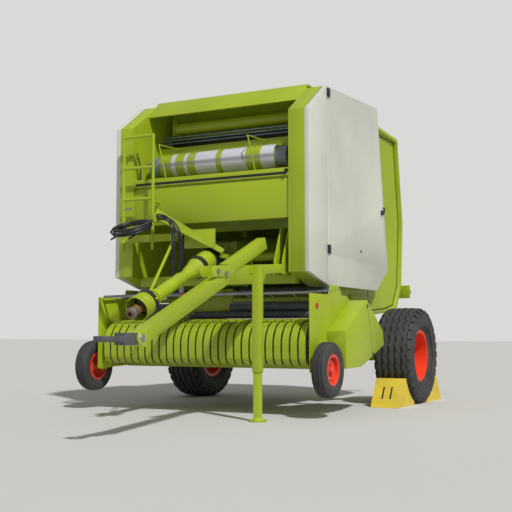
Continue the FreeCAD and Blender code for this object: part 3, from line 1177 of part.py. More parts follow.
HOSE_ROUTES = {
    "hose_outer": (REAR_HOSE_R, [(-330, -1935, 1548), (-288, -1935, 1548), (-245, -1934, 1538), (-205, -1932, 1518),
                                 (-170, -1930, 1488), (-143, -1927, 1449), (-124, -1924, 1403), (-114, -1920, 1353),
                                 (-110, -1917, 1300), (-109, -1915, 980)]),
    "hose_inner": (REAR_HOSE_R, [(-330, -1935, 1529), (-290, -1935, 1529), (-250, -1934, 1519), (-214, -1932, 1500),
                                 (-184, -1930, 1472), (-160, -1927, 1435), (-143, -1924, 1391), (-133, -1920, 1343),
                                 (-128, -1917, 1295), (-127, -1915, 980)]),
    "hose_front_outer": (FRONT_HOSE_R, [(-330, -1957, 1562), (-288, -1957, 1562), (-248, -1955, 1550),
                                        (-215, -1952, 1527), (-191, -1949, 1494), (-177, -1945, 1453),
                                        (-172, -1941, 1407), (-171, -1938, 1358), (-171, -1936, 1070)]),
    "hose_front_inner": (FRONT_HOSE_R, [(-330, -1958, 1546), (-292, -1958, 1546), (-256, -1956, 1533),
                                        (-226, -1953, 1511), (-205, -1950, 1479), (-194, -1946, 1439),
                                        (-190, -1942, 1395), (-189, -1939, 1350), (-189, -1937, 1070)]),
}


def hose_couplings():
    """Quick-release couplings at the hoses' ends, one with its cap."""
    couplings = []
    for name, (radius, route) in HOSE_ROUTES.items():
        before, end = V(*route[-2]), V(*route[-1])
        down = (end - before).normalize()
        body = join(rod(radius + 1.5, end, end + down * COUPLING_LENGTH * 0.5),
                    rod(radius + 4, end + down * COUPLING_LENGTH * 0.4, end + down * COUPLING_LENGTH))
        if name == "hose_outer":
            body = join(body, rod(radius + 2.5, end + down * COUPLING_LENGTH, end + down * (COUPLING_LENGTH + 22)))
        couplings.append(body)
    return Part.makeCompound(couplings)


nodes["wheel_chocks"] = wheel_chocks()
nodes["hose_coil"] = hose_coil()
nodes["hose_hooks"] = hose_hooks()
for name, (radius, route) in HOSE_ROUTES.items():
    nodes[name] = hose_tube(name, radius, [V(*point) for point in route])
nodes["hose_couplings"] = hose_couplings()


# ---- export ---------------------------------------------------------------------------------------------------------------------
def save(name, shape):
    placed = shape.translated(V(0, -ORIGIN_Y, 0))
    if not placed.isValid():
        print("not valid:", name)
    placed.exportStep("parts/" + name + ".step")


os.makedirs("parts", exist_ok=True)
for name, shape in nodes.items():
    save(name, shape)
print(len(nodes), "nodes, origin shift", -ORIGIN_Y)
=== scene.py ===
"""Surface detail and studio view of a parked round baler, built around its fixed construction frame.

Metres. +Z is up, the hitch is towards -Y. Whole pieces take their size from the frame's boxes, and their
body from its record; the places of small fittings are written here.
"""
import json
import math

import bmesh
import bpy
from bpy.props import FloatProperty, FloatVectorProperty, IntProperty, PointerProperty
from bpy.types import Operator, Panel, PropertyGroup
from mathutils import Matrix, Vector


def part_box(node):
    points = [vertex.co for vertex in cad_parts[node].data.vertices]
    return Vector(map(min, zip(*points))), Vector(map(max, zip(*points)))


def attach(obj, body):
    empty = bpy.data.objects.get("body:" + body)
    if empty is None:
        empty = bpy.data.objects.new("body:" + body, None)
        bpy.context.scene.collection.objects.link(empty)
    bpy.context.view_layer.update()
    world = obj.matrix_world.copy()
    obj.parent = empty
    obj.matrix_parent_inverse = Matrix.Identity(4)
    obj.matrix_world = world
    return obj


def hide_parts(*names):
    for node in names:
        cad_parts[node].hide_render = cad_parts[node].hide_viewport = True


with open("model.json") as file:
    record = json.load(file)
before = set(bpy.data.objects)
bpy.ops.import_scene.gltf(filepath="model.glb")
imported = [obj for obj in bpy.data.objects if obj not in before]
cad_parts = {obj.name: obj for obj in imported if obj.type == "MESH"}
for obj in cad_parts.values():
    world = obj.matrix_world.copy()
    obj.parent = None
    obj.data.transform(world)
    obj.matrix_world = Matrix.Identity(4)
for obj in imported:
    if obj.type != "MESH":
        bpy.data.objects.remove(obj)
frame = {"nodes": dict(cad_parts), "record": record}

bl_info = {
    "name": "Round baler dressing",
    "version": (1, 0, 0),
    "blender": (4, 5, 0),
    "location": "View3D > Sidebar > Baler",
    "description": "Adds tyres, shields, hoses, fittings and finishes to a round baler's frame",
    "category": "Object",
}

TAU = 2 * math.pi
MERGE_DISTANCE = 0.00002  # vertices of a frame piece nearer than this are one
FLAT_ANGLE = 0.6          # degrees under which two faces are one
SHARP_ANGLE = 28.0        # degrees over which an edge is rounded
ALIGNED = 0.99            # cosine over which a direction runs along X
AXIS = 0.0001             # radius of a profile's end at its axis
SIDEWAYS = (1, 0, 0)
Y_SHIFT = 1.5225          # the axle's place along the frame
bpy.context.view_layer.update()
NODES = frame["nodes"]
BODY_OF = {node: body for body, nodes in frame["record"]["behaviour"]["bodies"].items() for node in nodes}
RUST = (0.19, 0.085, 0.035)
DUST = (0.30, 0.26, 0.19)
ZINC = (0.42, 0.43, 0.44)
BLACK = (0.018, 0.018, 0.022)


# ---- settings ------------------------------------------------------
def colour(name, description, default):
    return FloatVectorProperty(name=name, description=description, subtype="COLOR", size=3,
                               default=default, min=0.0, max=1.0)


def length(name, description, default):
    return FloatProperty(name=name, description=description, unit="LENGTH", default=default, min=0.0)


class PaintSettings(PropertyGroup):
    """Colours of the finishes."""
    lime: colour("Lime paint", "Enamel of the body, frame and pick-up", (0.355, 0.455, 0.014))
    white: colour("Door white", "Enamel of the side panels", (0.66, 0.665, 0.575))
    orange: colour("Wheel orange", "Enamel of the wheel discs", (0.80, 0.055, 0.018))
    yellow: colour("Chock yellow", "Moulded plastic of the wheel chocks", (0.74, 0.55, 0.045))
    rubber: colour("Tyre rubber", "Rubber of all tyres", (0.040, 0.040, 0.043))
    slate: colour("Slate rubber", "Dark plates and rolls above the pick-up", (0.075, 0.09, 0.125))
    hose: colour("Hose rubber", "Cover of the oil hoses", (0.017, 0.018, 0.027))
    steel: colour("Bare steel", "Tines, rods and couplings", (0.30, 0.31, 0.33))
    cast: colour("Cast iron", "Towing eye and gear housing", (0.115, 0.117, 0.125))
    yoke: colour("Yoke", "Oiled forgings of the shaft joint", (0.25, 0.155, 0.06))
    film: colour("Wrap film", "Roll of wrapping net", (0.60, 0.605, 0.67))


class TyreSettings(PropertyGroup):
    """Sizes of the tyres' treads."""
    bead_radius: length("Bead radius", "Main tyre's radius at the rim", 0.206)
    tread_depth: length("Tread depth", "Height of the main tyre's ribs", 0.017)
    ribs: IntProperty(name="Ribs", description="Ribs across a main tyre", default=5, min=3, max=9)
    waves: IntProperty(name="Waves", description="Zigzags round a rib", default=28, min=12, max=90)
    wave_height: length("Wave height", "Sideways reach of a rib's zigzag", 0.008)
    gauge_bead_radius: length("Gauge bead radius", "Gauge tyre's radius at the rim", 0.101)
    gauge_groove: length("Gauge groove", "Depth of the gauge tyre's grooves", 0.009)


class SheetSettings(PropertyGroup):
    """Edges of folded and cut sheet metal."""
    fold: length("Fold radius", "Rounding of the large panels' edges", 0.0022)
    cut: length("Cut edge", "Rounding of plates and bars", 0.0016)


class StageSettings(PropertyGroup):
    """Light and floor of the studio."""
    sun: FloatProperty(name="Key light", description="Strength of the key light", default=2.8, min=0.0)
    fill: FloatProperty(name="Fill", description="Strength of the light from all round", default=0.32,
                        min=0.0)
    floor: colour("Floor", "Colour of the floor", (0.62, 0.61, 0.59))


# ---- materials -----------------------------------------------------
class Sock:
    """A shader socket that adds Math nodes when it is summed or multiplied."""

    def __init__(self, maker, socket):
        self.maker, self.socket = maker, socket

    def _sum(self, operation, first, second):
        return self.maker.node("ShaderNodeMath", {"operation": operation}, {0: first, 1: second})

    def __add__(self, other):
        return self._sum("ADD", self, other)

    __radd__ = __add__

    def __sub__(self, other):
        return self._sum("SUBTRACT", self, other)

    def __rsub__(self, other):
        return self._sum("SUBTRACT", other, self)

    def __mul__(self, other):
        return self._sum("MULTIPLY", self, other)

    __rmul__ = __mul__

    def wave(self):
        return self._sum("SINE", self, 0)


class Maker:
    """Builds one material around a Principled shader; patterns read Object coordinates."""

    def __init__(self, name, **plain):
        self.material = bpy.data.materials.new(name)
        self.material.use_nodes = True
        self.tree = self.material.node_tree
        self.shader = self.tree.nodes["Principled BSDF"]
        for socket, value in plain.items():
            self.shader.inputs[socket.replace("_", " ")].default_value = value
        self.place = self.node("ShaderNodeTexCoord", {}, {}, "Object")

    def node(self, kind, settings, inputs, output=0):
        made = self.tree.nodes.new(kind)
        for key, value in settings.items():
            setattr(made, key, value)
        for key, value in inputs.items():
            self.feed(made.inputs[key], value)
        return Sock(self, made.outputs[output])

    def feed(self, socket, value):
        if isinstance(value, Sock):
            self.tree.links.new(value.socket, socket)
        elif socket.type == "RGBA":
            socket.default_value = (*value[:3], 1.0)
        else:
            socket.default_value = value

    def noise(self, scale, detail=3.0, stretch=(1, 1, 1), roughness=0.55):
        place = self.node("ShaderNodeMapping", {}, {"Vector": self.place, "Scale": stretch})
        return self.node("ShaderNodeTexNoise", {}, {"Vector": place, "Scale": scale, "Detail": detail,
                                                    "Roughness": roughness})

    def axis(self, letter):
        return self.node("ShaderNodeSeparateXYZ", {}, {0: self.place}, letter)

    def fade(self, value, low, high, start=0.0, end=1.0):
        return self.node("ShaderNodeMapRange", {"clamp": True},
                         {"Value": value, "From Min": low, "From Max": high, "To Min": start, "To Max": end})

    def mix(self, first, second, factor):
        return self.node("ShaderNodeMix", {"data_type": "RGBA"}, {0: factor, 6: first, 7: second}, 2)

    def mottle(self, rgb, dark, light, pattern, low=0.3, high=0.7):
        return self.mix(scaled(rgb, dark), scaled(rgb, light), self.fade(pattern, low, high))

    def stain(self, base, rgb, scale, detail, low, high, strength):
        return self.mix(base, rgb, self.fade(self.noise(scale, detail), low, high) * strength)

    def bump(self, height, distance, strength):
        return self.node("ShaderNodeBump", {}, {"Height": height, "Distance": distance, "Strength": strength})

    def finish(self, **sockets):
        for socket, value in sockets.items():
            self.feed(self.shader.inputs[socket.replace("_", " ")], value)
        return self.material


def scaled(rgb, factor):
    return tuple(min(1.0, channel * factor) for channel in rgb)


def enamel(name, rgb, roughness=0.42, dust=0.07, chips=True):
    """Brushed-on machine paint: soft mottling, road dust low down, and small chips."""
    made = Maker(name, Roughness=roughness, Coat_Weight=0.12, Coat_Roughness=0.25)
    fine = made.noise(38.0, 3.0)
    base = made.mottle(rgb, 0.93, 1.06, made.noise(1.7, 4.0), 0.35, 0.65)
    streaks = made.fade(made.noise(9.0, 4.0, (1.0, 1.0, 0.12)), 0.52, 0.78)
    height = made.fade(made.axis("Z"), 0.25, 1.35, 1.0, 0.25)
    grime = streaks * height * dust + made.fade(fine, 0.55, 0.8) * height * dust * 0.6
    base = made.mix(base, DUST, grime)
    if chips:
        chip = made.fade(made.noise(27.0, 6.0, (1, 1, 1), 0.7), 0.735, 0.75)
        base = made.mix(base, scaled(rgb, 0.38), chip * 0.8)
    rough = made.fade(fine, 0.3, 0.7, roughness - 0.05, roughness + 0.08) + grime * 0.5
    skin = made.bump(made.noise(240.0, 2.0), 0.0004, 0.25)
    return made.finish(Base_Color=base, Roughness=rough, Normal=skin)


def metal(name, rgb, roughness, metallic=0.85):
    made = Maker(name, Metallic=metallic)
    scratch = made.noise(120.0, 4.0)
    base = made.mottle(rgb, 0.75, 1.15, made.noise(14.0, 5.0))
    base = made.stain(base, RUST, 23.0, 6.0, 0.6, 0.74, 0.35)
    rough = made.fade(scratch, 0.3, 0.7, roughness - 0.1, roughness + 0.14)
    return made.finish(Base_Color=base, Roughness=rough, Normal=made.bump(scratch, 0.0005, 0.35))


def casting(name, rgb):
    made = Maker(name, Roughness=0.6, Metallic=0.35)
    grain = made.noise(95.0, 4.0)
    base = made.mottle(rgb, 0.7, 1.25, made.noise(6.0, 5.0))
    base = made.stain(base, RUST, 19.0, 6.0, 0.58, 0.75, 0.3)
    return made.finish(Base_Color=base, Normal=made.bump(grain, 0.0014, 0.5))


def rubber(name, rgb, roughness=0.72, dust=0.22):
    made = Maker(name, Roughness=roughness)
    base = made.mottle(rgb, 0.8, 1.25, made.noise(11.0, 5.0))
    base = made.stain(base, scaled(DUST, 0.55), 4.0, 6.0, 0.42, 0.75, dust)
    fine = made.noise(160.0, 3.0)
    return made.finish(Base_Color=base,
                       Roughness=made.fade(fine, 0.3, 0.7, roughness - 0.08, roughness + 0.1),
                       Normal=made.bump(fine, 0.0007, 0.4))


def plastic(name, rgb, roughness):
    made = Maker(name, Roughness=roughness)
    base = made.mottle(rgb, 0.9, 1.08, made.noise(7.0, 4.0), 0.35, 0.65)
    base = made.stain(base, DUST, 13.0, 5.0, 0.55, 0.8, 0.22)
    return made.finish(Base_Color=base, Normal=made.bump(made.noise(150.0, 3.0), 0.0006, 0.35))


def wrap_film(name, rgb, lime):
    """Woven net on its roll, with coloured edge bars, a fine weave and a painted shadow band across its
    middle.
    """
    made = Maker(name, Roughness=0.38, Coat_Weight=0.2, Coat_Roughness=0.2)
    along = made.axis("X")
    bars = made.node("ShaderNodeValToRGB", {}, {"Fac": made.fade(along, -0.55, 0.55)})
    ramp = bars.socket.node.color_ramp
    ramp.interpolation = "CONSTANT"
    starts = ((0.0, 1), (0.12, 0), (0.158, 1), (0.232, 0), (0.258, 1), (0.332, 0), (0.508, 1), (0.558, 0),
              (0.758, 1), (0.88, 0), (0.985, 1))
    for place, green in starts:
        stop = ramp.elements[0] if place == 0.0 else ramp.elements.new(place)
        stop.color = (*(lime if green else rgb), 1.0)
    ramp.elements.remove(ramp.elements[-1])
    weave = (along * 1900.0).wave() * 0.5 + (made.axis("Z") * 1300.0).wave() * 0.5
    base = made.mix(bars, scaled(rgb, 0.55), made.fade(made.noise(16.0, 4.0, (0.15, 1, 1)), 0.5, 0.8) * 0.4)
    # Dark band across the roll's middle: painted shadow of the rail above it.
    rail_shadow = made.fade(made.axis("Z"), 2.005, 2.02) * made.fade(made.axis("Z"), 2.035, 2.05, 1.0, 0.0)
    base = made.mix(base, scaled(rgb, 0.3), rail_shadow * 0.7)
    return made.finish(Base_Color=base, Normal=made.bump(weave, 0.0004, 0.3))


def build_materials():
    paint = bpy.context.scene.baler_paint
    lime, slate = tuple(paint.lime), tuple(paint.slate)
    return {
        "lime": enamel("lime_enamel", lime),
        "white": enamel("white_enamel", tuple(paint.white), 0.36, 0.10, False),
        "orange": enamel("orange_enamel", tuple(paint.orange), 0.35, 0.22),
        "worn": enamel("worn_green", scaled(lime, 0.62), 0.5, 0.4),
        "shade": enamel("shaded_enamel", (0.035, 0.042, 0.018), 0.6, 0.0, False),
        "yellow": plastic("chock_plastic", tuple(paint.yellow), 0.55),
        "shield": plastic("shield_plastic", lime, 0.42),
        "tyre": rubber("tyre_rubber", tuple(paint.rubber)),
        "slate": rubber("slate_rubber", slate, 0.55, 0.15),
        "hose": rubber("hose_cover", tuple(paint.hose), 0.42, 0.06),
        "black": plastic("black_plastic", BLACK, 0.4),
        "steel": metal("bare_steel", tuple(paint.steel), 0.4),
        "zinc": metal("zinc_bolts", ZINC, 0.35),
        "blue_steel": metal("blued_rod", scaled(slate, 4.2), 0.42, 0.6),
        "cast": casting("cast_iron", tuple(paint.cast)),
        "yoke": casting("oiled_forging", tuple(paint.yoke)),
        "film": wrap_film("wrap_film", tuple(paint.film), scaled(lime, 0.9)),
        "core": plastic("core_tube", (0.20, 0.225, 0.27), 0.5),
        "red": plastic("red_lens", (0.55, 0.035, 0.015), 0.15),
    }


FINISH = {}


# ---- mesh helpers --------------------------------------------------
def new_object(name, data):
    made = bpy.data.objects.new(name, data)
    bpy.context.scene.collection.objects.link(made)
    return made


def add_piece(name, shape, finish, body, stands_for=(), smooth=32.0):
    """Turns a bmesh into a piece that rides on a body."""
    bmesh.ops.recalc_face_normals(shape, faces=shape.faces)
    mesh = bpy.data.meshes.new(name)
    shape.to_mesh(mesh)
    shape.free()
    for face in mesh.polygons:
        face.use_smooth = True
    mesh.set_sharp_from_angle(angle=math.radians(smooth))
    piece = new_object(name, mesh)
    mesh.materials.append(FINISH[finish])
    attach(piece, body)
    if stands_for:
        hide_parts(*stands_for)
    return piece


def stand_in(node, name, shape, finish, smooth=32.0):
    """A piece that stands for one frame piece, on its body."""
    return add_piece(name, shape, finish, BODY_OF[node], (node,), smooth)


def add_box(shape, low, high, rounding, place=Matrix()):
    size = Vector(high) - Vector(low)
    middle = (Vector(low) + Vector(high)) / 2
    matrix = place @ Matrix.Translation(middle) @ Matrix.Diagonal((*size, 1.0))
    made = bmesh.ops.create_cube(shape, size=1.0, matrix=matrix)
    edges = list({edge for vert in made["verts"] for edge in vert.link_edges})
    bevel_edges(shape, edges, min(rounding, 0.4 * min(size)))


def frame_at(origin, along, up):
    """Axes whose Y runs along a direction and whose Z is as near as can be to another."""
    y = Vector(along).normalized()
    x = y.cross(Vector(up)).normalized()
    z = x.cross(y)
    turn = Matrix((x, y, z)).transposed().to_4x4()
    return Matrix.Translation(Vector(origin)) @ turn


def bevel_edges(shape, edges, width, segments=2, kind="OFFSET", clamp=True):
    bmesh.ops.bevel(shape, geom=edges, offset=width, offset_type=kind, segments=segments, profile=0.5,
                    affect="EDGES", clamp_overlap=clamp, material=-1)


def along_matrix(start, end):
    """Places a shape made about Z so that it runs from start to end, centred between them."""
    start, end = Vector(start), Vector(end)
    turn = (end - start).to_track_quat("Z", "Y").to_matrix().to_4x4()
    return Matrix.Translation((start + end) / 2) @ turn


def add_rod(shape, start, end, radius, sides, far_radius=None):
    bmesh.ops.create_cone(shape, cap_ends=True, cap_tris=False, segments=sides, radius1=radius,
                          radius2=radius if far_radius is None else far_radius,
                          depth=(Vector(end) - Vector(start)).length, matrix=along_matrix(start, end))


def add_lathe(shape, profile, start, direction, steps):
    """A profile of (distance along the axis, radius) points, spun about the axis."""
    axis = Vector(direction).normalized()
    side = axis.orthogonal().normalized()
    origin = Vector(start)
    verts = [shape.verts.new(origin + axis * a + side * r) for a, r in profile]
    edges = [shape.edges.new(pair) for pair in zip(verts, verts[1:] + verts[:1])]
    bmesh.ops.spin(shape, geom=verts + edges, cent=origin, axis=axis, dvec=(0, 0, 0), angle=TAU,
                   steps=steps, use_merge=True, use_normal_flip=False, use_duplicate=False)


def add_bolts(shape, places, direction, radius, height):
    """Hexagon heads on washers."""
    axis = Vector(direction).normalized()
    for place in places:
        place = Vector(place)
        add_rod(shape, place, place + axis * height * 0.25, radius * 1.35, 14)
        add_rod(shape, place + axis * height * 0.25, place + axis * height, radius, 6, radius * 0.92)


def ring_of(centre, axis, radius, count, phase=0.0):
    axis = Vector(axis).normalized()
    first = axis.orthogonal().normalized()
    second = axis.cross(first)
    centre = Vector(centre)
    angles = [phase + TAU * i / count for i in range(count)]
    return [centre + (first * math.cos(a) + second * math.sin(a)) * radius for a in angles]


def soften(node, finish, width):
    """A copy of a frame piece with its sharp edges rounded, to stand for it."""
    shape = frame_shape(node)
    sharp = [edge for edge in shape.edges
             if len(edge.link_faces) == 2 and edge.calc_face_angle(0) > math.radians(SHARP_ANGLE)]
    bevel_edges(shape, sharp, width)
    return stand_in(node, node + "_dressed", shape, finish)


def dress_in_parts(node, parts, rest, width):
    """A softened copy of a frame piece whose faces take the first finish whose test their middle passes."""
    piece = soften(node, parts[0][0], width)
    for finish in [finish for finish, _ in parts[1:]] + [rest]:
        piece.data.materials.append(FINISH[finish])
    for face in piece.data.polygons:
        face.material_index = next((i for i, (_, test) in enumerate(parts) if test(face.center)),
                                   len(parts))


def round_bands():
    """The bands between the tine rows, bent in curves instead of folds."""
    shape = frame_shape("strippers")
    least, most = (math.radians(angle) for angle in FOLD_ANGLES)
    folds = [edge for edge in shape.edges if len(edge.link_faces) == 2
             and abs((edge.verts[0].co - edge.verts[1].co).normalized().x) > ALIGNED
             and least < edge.calc_face_angle(0) < most]
    bevel_edges(shape, folds, BAND_BEND, 4, "PERCENT", False)
    stand_in("strippers", "tine_bands", shape, "lime", 40.0)


def frame_shape(node):
    """A merged bmesh copy of a frame piece."""
    shape = bmesh.new()
    shape.from_mesh(NODES[node].data)
    bmesh.ops.remove_doubles(shape, verts=shape.verts, dist=MERGE_DISTANCE)
    bmesh.ops.dissolve_limit(shape, angle_limit=math.radians(FLAT_ANGLE), verts=shape.verts,
                             edges=shape.edges)
    return shape


def rimmed_tailgate(width):
    """The rear shell with a shallow groove inside the rim of each side, its ring darkened as painted shadow
    of the rim.
    """
    piece = soften("tailgate_shell", "lime", width)
    piece.data.materials.append(FINISH["shade"])
    shape = bmesh.new()
    shape.from_mesh(piece.data)
    for sign in (-1, 1):
        sides = [face for face in shape.faces
                 if face.normal.x * sign > ALIGNED and face.calc_area() > SIDE_AREA
                 and face.calc_center_median().x * sign > 0]
        groove = bmesh.ops.inset_region(shape, faces=sides, thickness=GROOVE_WIDTH, depth=-GROOVE_DEPTH,
                                        use_boundary=True, use_even_offset=True)
        # The groove's ring faces take the dark finish: painted shadow cast by the raised rim.
        for face in groove["faces"]:
            face.material_index = 1
    shape.to_mesh(piece.data)
    shape.free()


def shorten_hooks():
    """The hooks under the coil, cut off where the coil hides them."""
    shape = frame_shape("hose_hooks")
    low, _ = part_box("hose_hooks")
    cut = bmesh.ops.bisect_plane(shape, geom=shape.verts[:] + shape.edges[:] + shape.faces[:],
                                 plane_co=(0, low.y + HOOK_CUT, 0), plane_no=(0, -1, 0), clear_outer=True)
    rims = [item for item in cut["geom_cut"] if isinstance(item, bmesh.types.BMEdge)]
    bmesh.ops.holes_fill(shape, edges=rims)
    stand_in("hose_hooks", "hooks_dressed", shape, "black")


# ---- sheets and bars that keep the frame's shape -------------------
LIME_SHEETS = ("side_boxes", "roof_hood", "front_panel", "rear_light_bar", "pickup_drive_guard")
WHITE_SHEETS = ("side_strips",)
EYE_ROUNDING = 0.008
DOOR_FACE = 0.896
SHADE_SHEET_X = 0.719
NET_WALL_Y = 0.4025       # front of the wall behind the net roll
SIDE_AREA = 0.5           # square metres over which a face is a whole side of the tailgate
GROOVE_WIDTH = 0.014
GROOVE_DEPTH = 0.003
HOOK_CUT = 0.090          # length taken off the hooks' ends
UNDER_RODS_Z = 2.21
FOLD_ANGLES = (10.0, 70.0)  # degrees between which a tine band's edge is a fold
BAND_BEND = 44.0          # percent of a tine band's straight parts that its bends take up
TOP_ROLLER_Z = 2.36       # above the pressing rods, below the upper roller
LIME_BARS = ("drawbar", "tongue", "jack_sleeve", "jack_leg", "hose_arm", "chassis_frame", "axle",
             "pickup_frame", "cylinder_pins")
PLAIN_FINISH = {
    "lime": ("chamber_walls", "ladder", "shaft_rest", "cylinder_barrel_left", "cylinder_barrel_right"),
    "steel": ("cylinder_rod_left", "cylinder_rod_right", "crop_guard", "pickup_reel"),
    "worn": ("chamber_rollers", "tailgate_rollers"),
    "red": ("rear_lamps",),
    "slate": ("side_rolls",),
    "yellow": ("wheel_chocks",),
}


class BALER_OT_sheets(Operator):
    """Round the edges of panels, plates and bars and paint the frame pieces that stay"""
    bl_idname = "baler.sheets"
    bl_label = "Panels and frame"

    def execute(self, context):
        edges = context.scene.baler_sheet
        for finish, nodes in PLAIN_FINISH.items():
            for node in nodes:
                materials = NODES[node].data.materials
                materials.clear()
                materials.append(FINISH[finish])
        for nodes, finish, width in ((LIME_SHEETS, "lime", edges.fold), (WHITE_SHEETS, "white", edges.fold),
                                     (LIME_BARS, "lime", edges.cut)):
            for node in nodes:
                soften(node, finish, width)
        soften("towing_eye", "cast", EYE_ROUNDING)
        for node in ("door_left", "door_right"):
            dress_in_parts(node, [("white", lambda at: abs(at.x) < DOOR_FACE + 0.001)], "black", edges.fold)
        soften("net_tray", "lime", edges.cut)
        round_bands()
        rimmed_tailgate(edges.fold)
        shorten_hooks()
        # A dark sheet in front of the wall behind the pressing rods: painted shade of the compartment's
        # inside.
        shade_sheet = bmesh.new()
        add_box(shade_sheet, (-SHADE_SHEET_X, NET_WALL_Y - 0.004, UNDER_RODS_Z),
                (SHADE_SHEET_X, NET_WALL_Y + 0.001, TOP_ROLLER_Z - 0.015), 0.0005)
        add_piece("painted_shade_sheet", shade_sheet, "shade", "chassis")
        dress_in_parts("net_rollers", [("lime", lambda at: at.z > TOP_ROLLER_Z)], "blue_steel", edges.cut)
        return {"FINISHED"}


# ---- hoses ---------------------------------------------------------
COIL_CENTRE = Vector((-0.530, -2.010 + Y_SHIFT, 1.462))
COIL_RADIUS = 0.150
COIL_TILT = math.radians(24.0)
COIL_STEPS = 13           # points of a turn
COIL_END = 4.47           # turns
COIL_SHAPE = ((0.0, 0.0, 0.0), (0.2, -0.013, -0.010), (1.0, 0.008, -0.016), (2.0, 0.019, 0.002),
              (3.0, 0.003, 0.016), (4.0, -0.017, 0.008), (4.5, -0.017, 0.025))
CLAMP_ENTRY = Vector((-0.360, -1.972 + Y_SHIFT, 1.519))
HOSE_LINES = {             # diameter, and points from the clamp down
    "hose_outer": (0.016, (
        (-0.330, -0.4125, 1.548), (-0.288, -0.4125, 1.548), (-0.245, -0.4115, 1.538),
        (-0.205, -0.4095, 1.518), (-0.170, -0.4075, 1.488), (-0.143, -0.4045, 1.449),
        (-0.124, -0.4015, 1.403), (-0.114, -0.3975, 1.353), (-0.110, -0.3945, 1.300),
        (-0.110, -0.3943, 1.247), (-0.109, -0.3925, 0.980))),
    "hose_inner": (0.016, (
        (-0.330, -0.4125, 1.529), (-0.290, -0.4125, 1.529), (-0.250, -0.4115, 1.519),
        (-0.214, -0.4095, 1.500), (-0.184, -0.4075, 1.472), (-0.160, -0.4045, 1.435),
        (-0.143, -0.4015, 1.391), (-0.133, -0.3975, 1.343), (-0.128, -0.3945, 1.295),
        (-0.128, -0.3942, 1.246), (-0.127, -0.3925, 0.980))),
    "hose_front_outer": (0.013, (
        (-0.330, -0.4345, 1.562), (-0.288, -0.4345, 1.562), (-0.248, -0.4325, 1.550),
        (-0.215, -0.4295, 1.527), (-0.191, -0.4265, 1.494), (-0.177, -0.4225, 1.453),
        (-0.172, -0.4185, 1.407), (-0.171, -0.4155, 1.358), (-0.171, -0.4152, 1.309),
        (-0.171, -0.4135, 1.070))),
    "hose_front_inner": (0.013, (
        (-0.330, -0.4355, 1.546), (-0.292, -0.4355, 1.546), (-0.256, -0.4335, 1.533),
        (-0.226, -0.4305, 1.511), (-0.205, -0.4275, 1.479), (-0.194, -0.4235, 1.439),
        (-0.190, -0.4195, 1.395), (-0.189, -0.4165, 1.350), (-0.189, -0.4163, 1.305),
        (-0.189, -0.4145, 1.070))),
}


def hose_curve(name, points, diameter):
    """One open NURBS spline with a round section."""
    curve = bpy.data.curves.new(name, "CURVE")
    curve.dimensions = "3D"
    curve.bevel_depth = diameter / 2
    curve.bevel_resolution = 3
    curve.resolution_u = 5
    curve.use_fill_caps = True
    spline = curve.splines.new("NURBS")
    spline.points.add(len(points) - 1)
    for point, place in zip(spline.points, points):
        point.co = (*place, 1.0)
    spline.order_u = 3
    spline.use_endpoint_u = True
    hose = new_object(name, curve)
    curve.materials.append(FINISH["hose"])
    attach(hose, "chassis")
    return hose


def coil_place(turn, out, lift):
    """A point of the coil: turns counted from its fitting, moved outwards and along the coil's axis."""
    angle = math.pi + TAU * turn
    spread = 1.0 + 0.35 * max(0.0, -math.sin(angle))
    r = COIL_RADIUS + 0.003 + out * spread
    flat = Vector((r * math.cos(angle), r * math.sin(angle), lift * spread))
    return COIL_CENTRE + Matrix.Rotation(COIL_TILT, 3, "X") @ flat


def coil_points():
    """Loose turns that leave the fitting on the left hook and end in the clamp on the right."""
    points = [coil_place(0.0, -0.003, 0.0) + Matrix.Rotation(COIL_TILT, 3, "X") @ Vector((0, 0.020, 0))]
    for step in range(1, int(COIL_END * COIL_STEPS) + 1):
        turn = step / COIL_STEPS
        (t0, out0, lift0), (t1, out1, lift1) = next(
            pair for pair in zip(COIL_SHAPE, COIL_SHAPE[1:]) if pair[0][0] <= turn <= pair[1][0])
        share = (turn - t0) / (t1 - t0)
        wander = 0.0025 * math.sin(2.3 * TAU * turn + 0.7)
        points.append(coil_place(turn, out0 + (out1 - out0) * share + wander,
                                 lift0 + (lift1 - lift0) * share))
    return points + [CLAMP_ENTRY + Vector(step) for step in ((-0.010, -0.036, -0.022),
                                                             (-0.002, -0.016, -0.008), (0, 0, 0))]


class BALER_OT_hoses(Operator):
    """Make the finishes, lay the coiled hose on its hooks and hang the four oil hoses"""
    bl_idname = "baler.hoses"
    bl_label = "Hoses"

    def execute(self, context):
        FINISH.update(build_materials())
        points = coil_points()
        coil = hose_curve("coiled_hose", points, 0.016)
        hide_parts("hose_coil")
        for name, (diameter, line) in HOSE_LINES.items():
            hose = hose_curve(name + "_line", line, diameter)
            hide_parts(name)
            coupling = hose_coupling(name, Vector(line[-1]), diameter / 2)
        return {"FINISHED"}


def hose_coupling(name, end, r):
    """Crimped sleeve, hexagon and plug; the outer rear hose wears a dust cap."""
    down = Vector((0, 0, -1))
    shape = bmesh.new()
    add_lathe(shape, [(-0.030, r + 0.0005), (-0.030, r + 0.002), (-0.006, r + 0.0025), (0.000, r + 0.001),
                      (0.016, r + 0.001), (0.017, r + 0.004), (0.024, r + 0.004), (0.025, r + 0.0025),
                      (0.036, r + 0.0025), (0.038, r), (0.042, r - 0.002), (0.042, AXIS),
                      (-0.004, AXIS), (-0.004, r + 0.0005)], end, down, 24)
    finish = "black" if "front" in name else "zinc"
    coupling = add_piece(name + "_coupling", shape, finish, "chassis", ("hose_couplings",))
    if name == "hose_outer":
        cap = bmesh.new()
        add_lathe(cap, [(0.036, r + 0.0005), (0.036, r + 0.003), (0.060, r + 0.0025), (0.064, r),
                        (0.064, AXIS), (0.040, AXIS)], end, down, 24)
        add_piece("dust_cap", cap, "red", "chassis")
    return coupling


